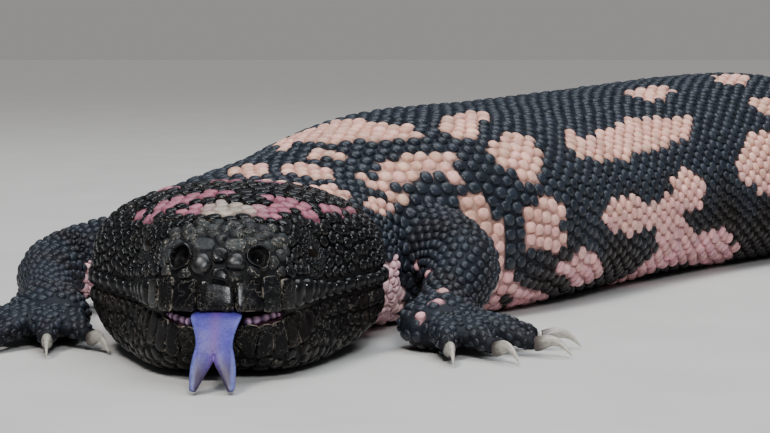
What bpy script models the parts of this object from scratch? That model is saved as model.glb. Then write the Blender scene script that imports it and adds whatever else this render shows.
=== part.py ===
"""Gila monster at life size, as it lies flat on a floor with its head low, mouth ajar and forked tongue out.

The body follows one bent centreline from the snout to the tail tip. Each length of it is a loft of level
sections across that line. The legs are lofts along bent paths of their own, cut to fit against the trunk.
Sizes are in millimetres, and MM turns them into Blender's metres when a mesh is made.
"""

import math

import bmesh
import bpy
import numpy as np
from mathutils import Matrix, Vector

MM = 0.001
GAP = 0.3  # clearance between two nodes that meet

# Driving dimensions of the animal
HEAD_LENGTH = 58.0
HEAD_HALF_WIDTH = 27.6
SNOUT_TO_VENT = 348.0
TOTAL_LENGTH = 482.0
TRUNK_HALF_WIDTH = 39.5
TRUNK_HEIGHT = 48.6
ORIGIN_STATION = 190.0  # the part's origin is on the floor under this point of the centreline

# Where the body's lengths are parted, as distances from the snout tip along the centreline
NECK_END = 80.0
CHEST_END = 152.0
MIDBODY_END = 240.0
RUMP_END = SNOUT_TO_VENT
TAIL_BASE_END = 394.0
TAIL_MIDDLE_END = 440.0

# Bends of the centreline: distance from the snout tip, and heading in degrees that the body runs away in,
# from straight behind the head towards the animal's left
BENDS = np.array([
    (-20.0, 0.0), (56.0, 0.0), (66.0, 9.0), (78.0, 27.0), (90.0, 37.0), (104.0, 36.0), (120.0, 29.0),
    (150.0, 27.0), (190.0, 30.0), (230.0, 37.0), (304.0, 44.0), (326.0, 33.0), (350.0, 12.0),
    (374.0, -4.0), (412.0, -22.0), (TOTAL_LENGTH + 1.0, -38.0),
])

# Head: distance from the snout tip, half width, top, underside of the jaw, level of the mouth
HEAD = np.array([
    (0.0, 2.6, 16.4, 8.2, 13.1),
    (0.7, 5.2, 19.4, 6.9, 13.0),
    (2.0, 7.8, 21.8, 4.9, 12.9),
    (4.0, 10.2, 23.9, 3.1, 12.8),
    (7.0, 12.2, 25.3, 1.9, 12.7),
    (11.0, 13.8, 26.5, 1.2, 12.6),
    (17.0, 15.6, 27.9, 0.9, 12.4),
    (23.0, 17.6, 29.0, 0.8, 12.3),
    (29.0, 20.6, 30.1, 0.8, 12.3),
    (35.0, 24.0, 30.9, 0.7, 12.5),
    (41.0, 26.7, 31.4, 0.7, 12.7),
    (47.0, HEAD_HALF_WIDTH, 31.5, 0.6, 12.9),
    (53.0, 27.0, 31.2, 0.5, 13.1),
    (HEAD_LENGTH, 26.4, 30.9, 0.4, 13.3),
])

# Neck, trunk and tail: distance from the snout tip, half width, top, underside
BODY = np.array([
    (HEAD_LENGTH, 26.4, 30.9, 0.4),
    (66.0, 29.0, 31.4, 0.2),
    (74.0, 29.6, 32.6, -0.2),
    (85.0, 28.0, 35.0, -0.8),
    (96.0, 28.8, 38.2, -1.4),
    (110.0, 32.8, 41.0, -1.8),
    (128.0, 36.6, 42.8, -2.0),
    (167.0, 38.8, 43.6, -2.0),
    (207.0, TRUNK_HALF_WIDTH, 44.8, -2.0),
    (245.0, TRUNK_HALF_WIDTH, 46.8, -2.0),
    (278.0, 38.2, TRUNK_HEIGHT, -2.0),
    (300.0, 34.8, TRUNK_HEIGHT, -2.0),
    (318.0, 30.0, 45.4, -1.8),
    (334.0, 24.8, 38.0, -1.4),
    (SNOUT_TO_VENT, 20.8, 31.2, -1.0),
    (368.0, 18.6, 27.2, -0.9),
    (400.0, 17.8, 25.4, -0.9),
    (432.0, 15.6, 22.4, -0.8),
    (456.0, 11.8, 17.0, -0.6),
    (472.0, 7.5, 11.2, -0.4),
    (479.5, 3.9, 7.3, 0.6),
    (TOTAL_LENGTH, 1.6, 5.0, 2.0),
])
TAIL_BEADS_END = 467.0
TAIL_TIP_STATIONS = (471.0, 474.5, 477.5, 480.0, TOTAL_LENGTH)
WIDEST_SHARE = 0.40  # height of the widest level, as a share of a body section's height
BACK_FULLNESS = 2.2  # exponents of the curve above and below the widest level: 2 is round, more is fuller
BELLY_FULLNESS = 3.2

# Beads of the skin, raised in the surface of the solids, coarser than the real ones
BEAD_STEP = 5.6
BEAD_RISE = 0.85
BEAD_SINK = 0.15
BEAD_FREE_LEVEL = 4.0  # the belly below this level is smooth
LEG_BEAD_RISE = 0.5
LEG_ROOTS = ((96.0, 1, 15.5), (91.0, -1, 15.0), (306.0, 1, 25.0), (307.0, -1, 27.0))  # station, side, reach
LEG_ROOT_LEVEL = 17.0  # middle of the smooth skin round the root of each leg

# Swellings and hollows of the upper head, alike on both sides: distance from the snout tip, angle above
# the mouth in degrees, half length, half width in degrees, rise
HEAD_RELIEF = (
    (22.5, 49.0, 7.0, 13.0, 1.4),  # brow
    (20.3, 29.0, 4.5, 10.0, -0.9),  # hollow of the eye
    (12.8, 32.0, 5.5, 12.0, -0.9),  # hollow before the eye
    (42.0, 30.0, 9.0, 20.0, 0.9),  # jowl
    (10.0, 8.0, 9.0, 9.0, 0.5),  # upper lip
    (4.5, 52.0, 4.5, 16.0, 0.7),  # swelling round the nostril
)
HEAD_FULLNESS = 2.45
JAW_FULLNESS = 3.3
JAW_POINTS = 27  # round a section of the lower jaw, from lip to lip
JAW_SWELLING = 2.0  # how far the gland under the lower lip stands out on each side
JAW_SWELLING_STATION = 20.0
JAW_SWELLING_LENGTH = 12.0
JAW_SWELLING_DROP = 0.7
SWOLLEN_JAW_FULLNESS = 6.0

# Mouth
MOUTH_OPENING = 2.6
MOUTH_OPEN_LENGTH = 12.0
JAW_SET_BACK = 1.0
JAW_INSET = 0.06  # share by which the lower jaw is narrower than the upper lip at the front
LIP_NOTCH = 0.9  # depth of the arch in the upper lip that the tongue comes out through
LIP_NOTCH_HALF_WIDTH = 3.6
LIP_NOTCH_LENGTH = 9.0

# Plates of the head: length along the row or across the head, height or width, and rise
PLATE_ROOT = 1.3  # depth that each plate goes below the skin
ROSTRAL = (6.2, 4.4, 0.8)
UPPER_LIP_PLATE = (5.1, 4.5, 0.6)
LOWER_LIP_PLATE = (5.6, 4.2, 0.5)
NOSE_SWELLING = (4.2, 4.6, 0.9)
NOSE_MIDDLE_PLATE = (2.4, 2.2, 0.7)
CROWN_PLATE = 5.8
CROWN_PLATE_GROWTH = 0.7  # how much larger the plates are at the back
CROWN_PLATE_RISE = 0.8
CROWN_ROWS = (7.5, 54.5)
LIP_PLATE_ANGLE = 13.0
LIP_ROW_END = 43.0
LIP_ROW_HEIGHT = 4.9  # the crown's plates start this far above the mouth
JOWL_END = 45.0  # behind it they start at an angle instead
JOWL_ANGLE = 7.0

# Eyes, nostrils and ears
EYE_STATION = 20.3
EYE_ANGLES = {"left": 26.5, "right": 147.0}  # degrees round the head from the left lip, as for all its parts
EYE_RADIUS = 2.7
EYE_SUNK = 1.4
LID_RADIUS = 4.2
LID_RISE = 1.1  # how far a lid stands out of the head
LID_SUNK = 0.7
EYE_CLEARANCE = 3.4  # from the eye's middle to the nearest plates
NOSTRIL_STATION = 3.4
NOSTRIL_ANGLE = 52.0
NOSTRIL_HALF_SIZES = (1.3, 1.7, 1.6)
EAR_STATION = 50.5
EAR_ANGLE = 16.0
EAR_HALF_SIZES = (2.2, 1.4, 3.2)
EAR_CLEARANCE = 2.0

# Tongue: distance from the snout tip, level, half width, half thickness
TONGUE_BEND = np.array([
    (6.6, 12.0, 3.4, 0.36),
    (3.4, 11.35, 3.9, 0.5),
    (1.0, 11.2, 4.25, 0.55),
    (-1.2, 11.0, 4.3, 0.6),
    (-3.4, 10.0, 3.7, 0.62),
    (-5.2, 8.4, 3.2, 0.6),
    (-6.4, 6.9, 3.15, 0.58),
    (-7.2, 5.9, 3.3, 0.5),
])
# Prong of the tongue: distance from the snout tip, out from the middle, level, half width, half thickness
PRONG_BEND = np.array([
    (-6.3, 1.75, 7.0, 1.35, 0.5),
    (-7.6, 1.95, 5.4, 1.5, 0.52),
    (-9.0, 2.45, 3.7, 1.2, 0.5),
    (-10.4, 2.95, 2.1, 0.85, 0.45),
    (-11.6, 3.35, 0.75, 0.42, 0.35),
])

# Gum on each side of the tongue: distance from the snout tip, out from the middle, and radius, at its ends
GUM_STATIONS = (3.9, 7.6)
GUM_ACROSS = (4.9, 9.4)
GUM_RADII = (0.48, 0.26)
GUM_RINGS = 7

# Legs: half width and half height at each joint, from inside the trunk to the front of the palm
ARM_SIZES = ((9.8, 9.4), (9.6, 9.2), (8.0, 7.8), (6.0, 5.4), (8.2, 4.9), (5.2, 3.0))
THIGH_SIZES = ((13.0, 11.5), (12.0, 11.0), (8.2, 8.2), (6.2, 5.7), (8.2, 4.9), (5.2, 3.0))
PAST_ELBOW = 4.0  # where a leg is parted, past its elbow or knee and before its wrist or ankle
BEFORE_WRIST = 4.0

# Joints of each leg: station of the body, distance out from the centreline, level
ARM_LEFT = ((101.0, 8.0, 15.5), (99.0, 21.0, 16.5), (92.5, 37.5, 13.5), (51.0, 38.5, 5.8),
            (43.5, 37.5, 4.6), (37.0, 38.0, 3.2))
ARM_RIGHT = ((93.0, -12.0, 15.5), (92.0, -27.0, 15.0), (80.0, -52.0, 9.8), (64.0, -40.0, 5.8),
             (56.0, -37.5, 4.6), (49.0, -36.0, 3.2))
THIGH_LEFT = ((314.0, 10.0, 16.0), (313.0, 24.0, 16.0), (291.0, 48.0, 14.0), (302.0, 70.0, 6.8),
              (300.5, 79.5, 4.6), (299.0, 85.5, 3.2))
THIGH_RIGHT = ((315.0, -10.0, 16.0), (314.0, -24.0, 16.0), (295.0, -49.0, 14.0), (307.0, -71.0, 6.8),
               (306.0, -80.5, 4.6), (305.0, -86.5, 3.2))

# Fingers and toes, from the inner one to the outer one
DIGIT_SPREAD = (-57.0, -30.0, 0.0, 28.0, 58.0)
FINGER_LENGTHS = (18.0, 19.5, 20.5, 20.0, 16.5)
TOE_LENGTHS = (15.5, 19.5, 22.0, 22.5, 18.0)
DIGIT_ROOT = 3.0  # distance from the palm's middle that a digit starts at, inside the palm
DIGIT_SHARES = np.array([0.0, 0.35, 0.7, 1.0])
DIGIT_LEVELS = np.array([4.3, 4.8, 3.6, 2.5])
DIGIT_RADII = np.array([3.1, 3.0, 2.6, 1.9])
DIGIT_SIDES = 7

# Claws
CLAW_LENGTH = 6.6
CLAW_RADIUS = 1.35
CLAW_TIP_RADIUS = 0.28
CLAW_SIDES = 7
CLAW_TIP_LEVEL = 0.5
CLAW_ARCH = np.array([0.0, 0.55, 0.5, -0.35])  # levels above the digit's tip, up to the claw's last quarter

# Looks of each part: colour, roughness
SKIN = ("beaded_skin", (0.035, 0.035, 0.045), 0.42)
TONGUE_SKIN = ("tongue", (0.27, 0.23, 0.50), 0.30)
GUM = ("gum", (0.50, 0.32, 0.42), 0.30)
EYE = ("eye", (0.010, 0.008, 0.008), 0.06)
CLAW = ("claw", (0.46, 0.43, 0.37), 0.38)


# Curves, meshes and unions shared by all parts

def clear_scene():
    for obj in list(bpy.data.objects):
        bpy.data.objects.remove(obj)


def material(look):
    name, colour, roughness = look
    found = bpy.data.materials.get(name)
    if found:
        return found
    made = bpy.data.materials.new(name)
    made.use_nodes = True
    shader = made.node_tree.nodes["Principled BSDF"]
    shader.inputs["Base Color"].default_value = (*colour, 1.0)
    shader.inputs["Roughness"].default_value = roughness
    shader.inputs["Metallic"].default_value = 0.0
    return made


def smooth_value(keys, values, x):
    """Cubic curve through (keys, values), read at x. Values may hold several columns."""
    slopes = np.gradient(values, keys, axis=0)
    x = np.asarray(x, float)
    i = np.clip(np.searchsorted(keys, x, side="right") - 1, 0, len(keys) - 2)
    span = keys[i + 1] - keys[i]
    t = (x - keys[i]) / span
    if values.ndim > 1:
        span = span[..., None]
        t = t[..., None]
    start = values[i] * (2 * t**3 - 3 * t**2 + 1) + slopes[i] * span * (t**3 - 2 * t**2 + t)
    end = values[i + 1] * (3 * t**2 - 2 * t**3) + slopes[i + 1] * span * (t**3 - t**2)
    return start + end


def smooth_step(t):
    t = min(max(t, 0.0), 1.0)
    return t * t * (3 - 2 * t)


def heading_angle(station):
    return np.radians(np.interp(station, BENDS[:, 0], BENDS[:, 1]))


STATIONS = np.arange(BENDS[0, 0], BENDS[-1, 0] + 0.5, 1.0)
STEPS = np.column_stack([np.sin(heading_angle(STATIONS)), np.cos(heading_angle(STATIONS))])
CENTRELINE = np.cumsum((STEPS + np.roll(STEPS, 1, axis=0)) / 2, axis=0)


def centre(station):
    """Point of the centreline on the floor, at a distance from the snout tip."""
    return np.array([np.interp(station, STATIONS, CENTRELINE[:, k]) for k in (0, 1)])


def heading(station):
    """Unit vector along the centreline, towards the tail."""
    angle = heading_angle(station)
    return np.array([math.sin(angle), math.cos(angle)])


ORIGIN = centre(ORIGIN_STATION)


def place(station, across, level):
    """Points at a station of the centreline, so far to the animal's left, at levels above the floor."""
    along = heading(station)
    left = np.array([along[1], -along[0]])
    plan = centre(station) - ORIGIN + np.multiply.outer(across, left)
    return np.column_stack([plan, level])


def spot(station, across, level):
    """One point at a station, so far to the animal's left, at a level above the floor."""
    return place(station, np.array([across]), np.array([level]))[0]


def new_object(name, points, faces, look, collection="gila_monster"):
    mesh = bpy.data.meshes.new(name)
    mesh.from_pydata([tuple(p) for p in np.asarray(points) * MM], [], faces)
    shape = bmesh.new()
    shape.from_mesh(mesh)
    bmesh.ops.recalc_face_normals(shape, faces=shape.faces)
    shape.to_mesh(mesh)
    shape.free()
    mesh.shade_smooth()
    mesh.set_sharp_from_angle(angle=math.radians(50))
    mesh.materials.append(material(look))
    obj = bpy.data.objects.new(name, mesh)
    group(collection).objects.link(obj)
    return obj


def group(name):
    found = bpy.data.collections.get(name)
    if not found:
        found = bpy.data.collections.new(name)
        bpy.context.scene.collection.children.link(found)
    return found


def loft(name, rings, look, collection="gila_monster"):
    """Closed skin over rings of equal count, with a fan at each end. Where rows of raised points alternate,
    each quad is parted between its two low corners, so that every raised point is a bead of its own."""
    count = len(rings[0])
    points = np.concatenate([*rings, [np.mean(rings[0], axis=0)], [np.mean(rings[-1], axis=0)]])
    faces = []
    for j in range(len(rings) - 1):
        for i in range(count):
            a = j * count + i
            b = j * count + (i + 1) % count
            c = b + count
            d = a + count
            faces += [(a, b, d), (b, c, d)] if (i + j) % 2 == 0 else [(a, b, c), (a, c, d)]
    first = len(rings) * count
    last_ring = (len(rings) - 1) * count
    for i in range(count):
        following = (i + 1) % count
        faces.append((first, following, i))
        faces.append((first + 1, last_ring + i, last_ring + following))
    return new_object(name, points, faces, look, collection)


def apply_boolean(obj, operation, others):
    """Joins or cuts obj with a collection of closed meshes, and keeps its largest surface alone."""
    working = group("working")
    for other in others:
        for holder in list(other.users_collection):
            holder.objects.unlink(other)
        working.objects.link(other)
    modifier = obj.modifiers.new("boolean", "BOOLEAN")
    modifier.operation = operation
    modifier.solver = "MANIFOLD"
    modifier.operand_type = "COLLECTION"
    modifier.collection = working
    depsgraph = bpy.context.evaluated_depsgraph_get()
    result = bpy.data.meshes.new_from_object(obj.evaluated_get(depsgraph))
    obj.modifiers.clear()
    obj.data = result
    for other in others:
        bpy.data.objects.remove(other)
    keep_largest(obj)


def keep_largest(obj):
    """Leaves the one closed surface that encloses most, and drops loose scraps."""
    shape = bmesh.new()
    shape.from_mesh(obj.data)
    unseen = set(shape.faces)
    pieces = []
    while unseen:
        front = [unseen.pop()]
        piece = []
        while front:
            face = front.pop()
            piece.append(face)
            for edge in face.edges:
                for other in edge.link_faces:
                    if other in unseen:
                        unseen.discard(other)
                        front.append(other)
        pieces.append(piece)
    pieces.sort(key=lambda piece: -sum(face.calc_area() for face in piece))
    scraps = [face for piece in pieces[1:] for face in piece]
    bmesh.ops.delete(shape, geom=scraps, context="FACES")
    bmesh.ops.delete(shape, geom=[v for v in shape.verts if not v.link_faces], context="VERTS")
    shape.to_mesh(obj.data)
    shape.free()


def resample(outline, count):
    """Count points spread evenly round a closed outline, from its first point on."""
    closed = np.vstack([outline, outline[:1]])
    reach = np.concatenate([[0.0], np.cumsum(np.linalg.norm(np.diff(closed, axis=0), axis=1))])
    at = np.linspace(0.0, reach[-1], count, endpoint=False)
    return np.column_stack([np.interp(at, reach, closed[:, k]) for k in range(closed.shape[1])])


def outward(outline):
    """Unit normals of a closed outline that runs anticlockwise."""
    along = np.roll(outline, -1, axis=0) - np.roll(outline, 1, axis=0)
    along /= np.linalg.norm(along, axis=1)[:, None] + 1e-9
    return np.column_stack([along[:, 1], -along[:, 0]])


def stations_between(start, end, step):
    return np.linspace(start, end, max(2, round((end - start) / step) + 1))


# Neck, trunk and tail

def body_outline(station, spread=0.0):
    """Outline across the body, from the middle of the belly round by the animal's left. It is flat where it
    rests on the floor. Spread makes it larger all round."""
    half_width, top, underside = smooth_value(BODY[:, 0], BODY[:, 1:], station)
    widest = underside + WIDEST_SHARE * (top - underside)
    angle = np.radians(np.arange(270.0, 630.0, 3.0))
    side = np.cos(angle)
    rise = np.sin(angle)
    power = np.where(rise > 0, 2 / BACK_FULLNESS, 2 / BELLY_FULLNESS)
    across = half_width * np.sign(side) * np.abs(side) ** power
    reach = np.where(rise > 0, top - widest, widest - underside)
    level = widest + reach * np.sign(rise) * np.abs(rise) ** power
    outline = np.column_stack([across, np.maximum(level, 0.0)])
    if spread:
        outline = outline + spread * outward(outline)
    return outline


def bead_offsets(outline, row, station):
    """How far each point stands out of the smooth skin: every second one is the top of a bead."""
    tops = (np.arange(len(outline)) + row) % 2 == 0
    beaded = outline[:, 1] > BEAD_FREE_LEVEL
    for root_station, side, reach in LEG_ROOTS:
        near = np.hypot(station - root_station, outline[:, 1] - LEG_ROOT_LEVEL) < reach
        beaded &= ~(near & (np.sign(outline[:, 0]) == side))
    return np.where(beaded, np.where(tops, BEAD_RISE, -BEAD_SINK), 0.0)


def body_length(name, start, end, count):
    """One length of the body, with beads on its back and sides and plain edges at both cuts."""
    rings = []
    stations = stations_between(start + GAP / 2, end - GAP / 2, BEAD_STEP)
    for row, station in enumerate(stations):
        outline = resample(body_outline(station), count)
        if 0 < row < len(stations) - 1:
            offsets = bead_offsets(outline, row, station)
            outline = outline + offsets[:, None] * outward(outline)
        rings.append(place(station, outline[:, 0], outline[:, 1]))
    return loft(name, rings, SKIN)


def tail_tip(count):
    """The last length of the tail, whose rows draw together into a blunt tip with plain rings."""
    beaded = stations_between(TAIL_MIDDLE_END + GAP / 2, TAIL_BEADS_END, BEAD_STEP)
    stations = [*beaded, *TAIL_TIP_STATIONS]
    rings = []
    for row, station in enumerate(stations):
        outline = resample(body_outline(station), count)
        if 0 < row < len(beaded):
            offsets = bead_offsets(outline, row, station)
            outline = outline + offsets[:, None] * outward(outline)
        rings.append(place(station, outline[:, 0], outline[:, 1]))
    return loft("tail_tip", rings, SKIN)


def trunk_cutter(start, end):
    """Smooth trunk, larger by the clearance, that the roots of the legs are cut with."""
    rings = []
    for station in stations_between(start, end, 5.0):
        outline = resample(body_outline(station, GAP), 60)
        outline[:, 1] = np.where(outline[:, 1] < GAP, -3.0, outline[:, 1])
        rings.append(place(station, outline[:, 0], outline[:, 1]))
    return loft("trunk_cutter", rings, SKIN)


# Head

def head_sizes(station):
    return smooth_value(HEAD[:, 0], HEAD[:, 1:], station)


def head_relief(station, angle):
    """How far the swellings and hollows move the head's skin in or out."""
    folded = min(angle, 180.0 - angle)
    relief = 0.0
    for at_station, at_angle, length, width, rise in HEAD_RELIEF:
        away = ((station - at_station) / length) ** 2 + ((folded - at_angle) / width) ** 2
        relief += rise * math.exp(-away)
    return relief


def head_point(station, angle):
    """Point of the head's skin above the mouth. Angle 0 is the lip on the animal's left and 90 the crown."""
    half_width, top, _, mouth = head_sizes(station)
    side = math.cos(math.radians(angle))
    rise = math.sin(math.radians(angle))
    power = 2 / HEAD_FULLNESS
    across = half_width * math.copysign(abs(side) ** power, side)
    level = mouth + (top - mouth) * rise**power
    out = np.array([side / max(half_width, 1.0), rise / max(top - mouth, 1.0)])
    out /= np.linalg.norm(out)
    across += out[0] * head_relief(station, angle)
    level += out[1] * head_relief(station, angle)
    return spot(station, across, level)


def head_normal(station, angle):
    """Outward direction of the head's skin at a point."""
    low = head_point(station, max(angle - 2.0, 0.5))
    high = head_point(station, min(angle + 2.0, 179.5))
    back = head_point(station + 0.6, angle)
    front = head_point(max(station - 0.6, 0.0), angle)
    normal = np.cross(back - front, high - low)
    return normal / np.linalg.norm(normal)


HEAD_STATIONS = np.array([0.0, 0.7, 2.0, 4.0, 6.5, 9.5, 13.0, 17.0, 20.5, 24.0, 27.5, 31.5, 36.0, 40.5, 45.0,
                          49.5, 54.0, HEAD_LENGTH - GAP / 2])


def skull():
    """Upper head, whose flat underside is the roof of the mouth."""
    rings = []
    for station in HEAD_STATIONS:
        half_width, _, _, mouth = head_sizes(station)
        arch = np.array([head_point(station, angle) for angle in np.linspace(0.0, 180.0, 25)])
        across = np.linspace(-half_width, half_width, 7)[1:-1]
        notch = LIP_NOTCH * np.exp(-((across / LIP_NOTCH_HALF_WIDTH) ** 2))
        notch *= 1 - smooth_step(station / LIP_NOTCH_LENGTH)
        roof = place(station, across, mouth + notch)
        rings.append(np.vstack([arch, roof]))
    return loft("head", rings, SKIN)


def jaw_top(station):
    gap = GAP + MOUTH_OPENING * (1 - smooth_step(station / MOUTH_OPEN_LENGTH))
    return head_sizes(station)[3] - gap


def jaw_half_width(station):
    return head_sizes(station)[0] * (1 - JAW_INSET + JAW_INSET * smooth_step(station / 40.0))


def jaw_ring(station):
    """Section of the lower jaw: round the throat, then flat across the floor of the mouth. The front of
    the jaw is set back behind the upper lip, and behind it the glands swell the sides out and down."""
    way = (station - JAW_SWELLING_STATION) / JAW_SWELLING_LENGTH
    swelling = math.exp(-(way**2))
    fullness = JAW_FULLNESS + (SWOLLEN_JAW_FULLNESS - JAW_FULLNESS) * math.exp(-((way / 1.4) ** 4))
    underside = head_sizes(station)[2] - JAW_SWELLING_DROP * swelling
    half_width = jaw_half_width(station)
    top = jaw_top(station)
    round_jaw = np.linspace(-1.0, 1.0, JAW_POINTS)
    angle = 0.5 * math.pi * np.sign(round_jaw) * (1 - (1 - np.abs(round_jaw)) ** (fullness / 2))
    side = np.sign(angle) * np.abs(np.sin(angle)) ** (2 / fullness)
    drop = np.cos(angle).clip(0.0) ** (2 / fullness)
    bulge = JAW_SWELLING * swelling * np.array([smooth_step(share / 0.55) for share in drop])
    across = (half_width + bulge) * side
    level = top - (top - underside) * drop
    roof = np.linspace(half_width, -half_width, 7)[1:-1]
    ring = place(station, np.concatenate([across, roof]), np.concatenate([level, np.full(len(roof), top)]))
    ring[:, 1] += JAW_SET_BACK * (1 - smooth_step(station / MOUTH_OPEN_LENGTH))
    return ring


def lower_jaw():
    """Lower jaw and throat, as wide as the upper lip at the back and a little narrower in front."""
    return loft("lower_jaw", [jaw_ring(station) for station in HEAD_STATIONS], SKIN)


def plate(name, where, normal, along, sizes, sides):
    """Low plate with a smaller top, rooted below the skin. Along is the way that its first size runs."""
    length, width, rise = sizes
    shape = bmesh.new()
    depth = PLATE_ROOT + rise
    bmesh.ops.create_cone(shape, cap_ends=True, segments=sides, radius1=1.2, radius2=0.8, depth=depth)
    bmesh.ops.translate(shape, verts=shape.verts, vec=(0.0, 0.0, (rise - PLATE_ROOT) / 2))
    up = Vector(normal).normalized()
    side = up.cross(Vector(along)).normalized()
    forward = side.cross(up)
    turn = Matrix((forward * length / 2, side * width / 2, up)).transposed()
    points = [np.array(turn @ vert.co) + where for vert in shape.verts]
    faces = [[vert.index for vert in face.verts] for face in shape.faces]
    shape.free()
    return new_object(name, points, faces, SKIN, "working")


def lip_row(name, edge, first, sizes):
    """Plates one after another along a lip, from the front back. Edge is the line of the lip as points, and
    first is how far from the middle of the snout the first plate sits."""
    middle = spot(0.0, 0.0, 0.0)[0]
    side = math.copysign(1.0, edge[-1][0] - middle)
    reach = np.cumsum(np.linalg.norm(np.diff(edge, axis=0), axis=1))
    reach = abs(edge[0][0] - middle) + np.concatenate([[0.0], reach])
    plates = []
    for at in np.arange(first, reach[-1], sizes[0]):
        where = np.array([np.interp(at, reach, edge[:, k]) for k in range(3)])
        ahead = np.array([np.interp(at + 1.0, reach, edge[:, k]) for k in range(3)]) - where
        normal = side * np.array([ahead[1], -ahead[0], 0.0])
        plates.append(plate(name, where, normal, ahead, sizes, 6))
    return plates


LIP_STATIONS = np.arange(0.2, LIP_ROW_END, 0.2)


def upper_lip_plates():
    """Rostral plate in the middle of the upper lip, and the row of tall plates to each side of it."""
    where = head_point(0.7, 90.0) - [0.0, 0.2, 2.6]
    plates = [plate("rostral", where, (0.0, -1.0, 0.1), (1.0, 0.0, 0.0), ROSTRAL, 8)]
    first = (ROSTRAL[0] + UPPER_LIP_PLATE[0]) / 2
    for angle in (LIP_PLATE_ANGLE, 180.0 - LIP_PLATE_ANGLE):
        edge = np.array([head_point(station, angle) for station in LIP_STATIONS])
        plates += lip_row("labial", edge, first, UPPER_LIP_PLATE)
    return plates


def lower_lip_plates():
    """Row of plates along the lower lip on each side of the tongue."""
    rings = np.array([jaw_ring(station) for station in LIP_STATIONS])
    first = TONGUE_BEND[:, 2].max() + LOWER_LIP_PLATE[0] / 2
    below_right_lip = 4
    below_left_lip = JAW_POINTS - 5
    plates = lip_row("lower_labial", rings[:, below_left_lip], first, LOWER_LIP_PLATE)
    return plates + lip_row("lower_labial", rings[:, below_right_lip], first, LOWER_LIP_PLATE)


def plate_is_free(station, angle, size):
    """True away from the lips, the eyes and the ears."""
    folded = min(angle, 180.0 - angle)
    where = head_point(station, folded)
    if station < JOWL_END:
        clear_of_lip = where[2] - head_sizes(station)[3] > LIP_ROW_HEIGHT
    else:
        clear_of_lip = folded > JOWL_ANGLE
    eye = head_point(EYE_STATION, EYE_ANGLES["left" if angle < 90.0 else "right"])
    from_eye = np.linalg.norm(head_point(station, angle) - eye)
    from_ear = np.linalg.norm(where - head_point(EAR_STATION, EAR_ANGLE))
    return clear_of_lip and from_eye > EYE_CLEARANCE + size / 2 and from_ear > EAR_CLEARANCE + size / 2


def crown_plates():
    """Scutes over the snout, crown and cheeks, in rows from side to side that alternate."""
    plates = []
    angles = np.arange(0.0, 181.0, 3.0)
    for row, station in enumerate(np.arange(*CROWN_ROWS, CROWN_PLATE)):
        arch = np.array([head_point(station, angle) for angle in angles])
        reach = np.concatenate([[0.0], np.cumsum(np.linalg.norm(np.diff(arch, axis=0), axis=1))])
        size = CROWN_PLATE + CROWN_PLATE_GROWTH * smooth_step(station / 40.0)
        number = int(reach[-1] / size / 2) * 2 + row % 2
        sizes = (size * 0.95, size * 0.95, CROWN_PLATE_RISE)
        for at in (np.arange(number) + 0.5) * reach[-1] / number:
            angle = float(np.interp(at, reach, angles))
            if plate_is_free(station, angle, size):
                where = head_point(station, angle)
                plates.append(plate("scute", where, head_normal(station, angle), (0.0, 1.0, 0.0), sizes, 6))
    return plates


def nose_plates():
    """Two round swellings side by side above the rostral plate, and a small plate between them."""
    across = (1.0, 0.0, 0.0)
    middle, front, _ = head_point(0.7, 90.0)
    low = np.array([middle, front, 18.2])
    plates = [plate("nose_middle", low, (0.0, -1.0, 0.25), across, NOSE_MIDDLE_PLATE, 6)]
    for side in (-1, 1):
        where = np.array([middle + side * 2.9, head_point(1.6, 90.0 - side * 22.0)[1], 20.4])
        plates.append(plate("nose_swelling", where, (side * 0.25, -1.0, 0.35), across, NOSE_SWELLING, 8))
    return plates


def ball(name, where, sizes, look=SKIN, collection="working", turn=None):
    """Ellipsoid with the three half sizes."""
    shape = bmesh.new()
    bmesh.ops.create_uvsphere(shape, u_segments=12, v_segments=8, radius=1.0)
    matrix = Matrix.Diagonal((*sizes, 1.0))
    if turn is not None:
        matrix = turn.to_4x4() @ matrix
    points = [np.array(matrix @ vert.co) + where for vert in shape.verts]
    faces = [[vert.index for vert in face.verts] for face in shape.faces]
    shape.free()
    return new_object(name, points, faces, look, collection)


def sides_of(angle):
    return ((angle, "left"), (180.0 - angle, "right"))


def eye_centre(angle):
    return head_point(EYE_STATION, angle) - EYE_SUNK * head_normal(EYE_STATION, angle)


def lids():
    """Thick ring of lid round each eye."""
    rings = []
    for angle in EYE_ANGLES.values():
        normal = Vector(head_normal(EYE_STATION, angle))
        turn = normal.to_track_quat("Z", "Y").to_matrix()
        where = head_point(EYE_STATION, angle) - LID_SUNK * np.array(normal)
        rings.append(ball("lid", where, (LID_RADIUS, LID_RADIUS, LID_RISE + LID_SUNK), turn=turn))
    return rings


def openings():
    """Tools that hollow the eye sockets, the nostrils and the ear slits."""
    tools = []
    for angle in EYE_ANGLES.values():
        tools.append(ball("socket", eye_centre(angle), (EYE_RADIUS + GAP,) * 3))
    for angle, _ in sides_of(NOSTRIL_ANGLE):
        tools.append(ball("nostril", head_point(NOSTRIL_STATION, angle), NOSTRIL_HALF_SIZES))
    for angle, _ in sides_of(EAR_ANGLE):
        tools.append(ball("ear", head_point(EAR_STATION, angle), EAR_HALF_SIZES))
    return tools


def head():
    upper = skull()
    pieces = [*upper_lip_plates(), *crown_plates(), *nose_plates(), *lids()]
    apply_boolean(upper, "UNION", pieces)
    apply_boolean(upper, "DIFFERENCE", openings())
    lower = lower_jaw()
    apply_boolean(lower, "UNION", lower_lip_plates())


def eyes():
    for side, angle in EYE_ANGLES.items():
        ball("eye_" + side, eye_centre(angle), (EYE_RADIUS,) * 3, EYE, "gila_monster")


# Legs, hands and feet

def directions(path):
    """Unit direction of a path at each of its points."""
    ahead = np.gradient(path, axis=0)
    return ahead / np.linalg.norm(ahead, axis=1)[:, None]


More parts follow.
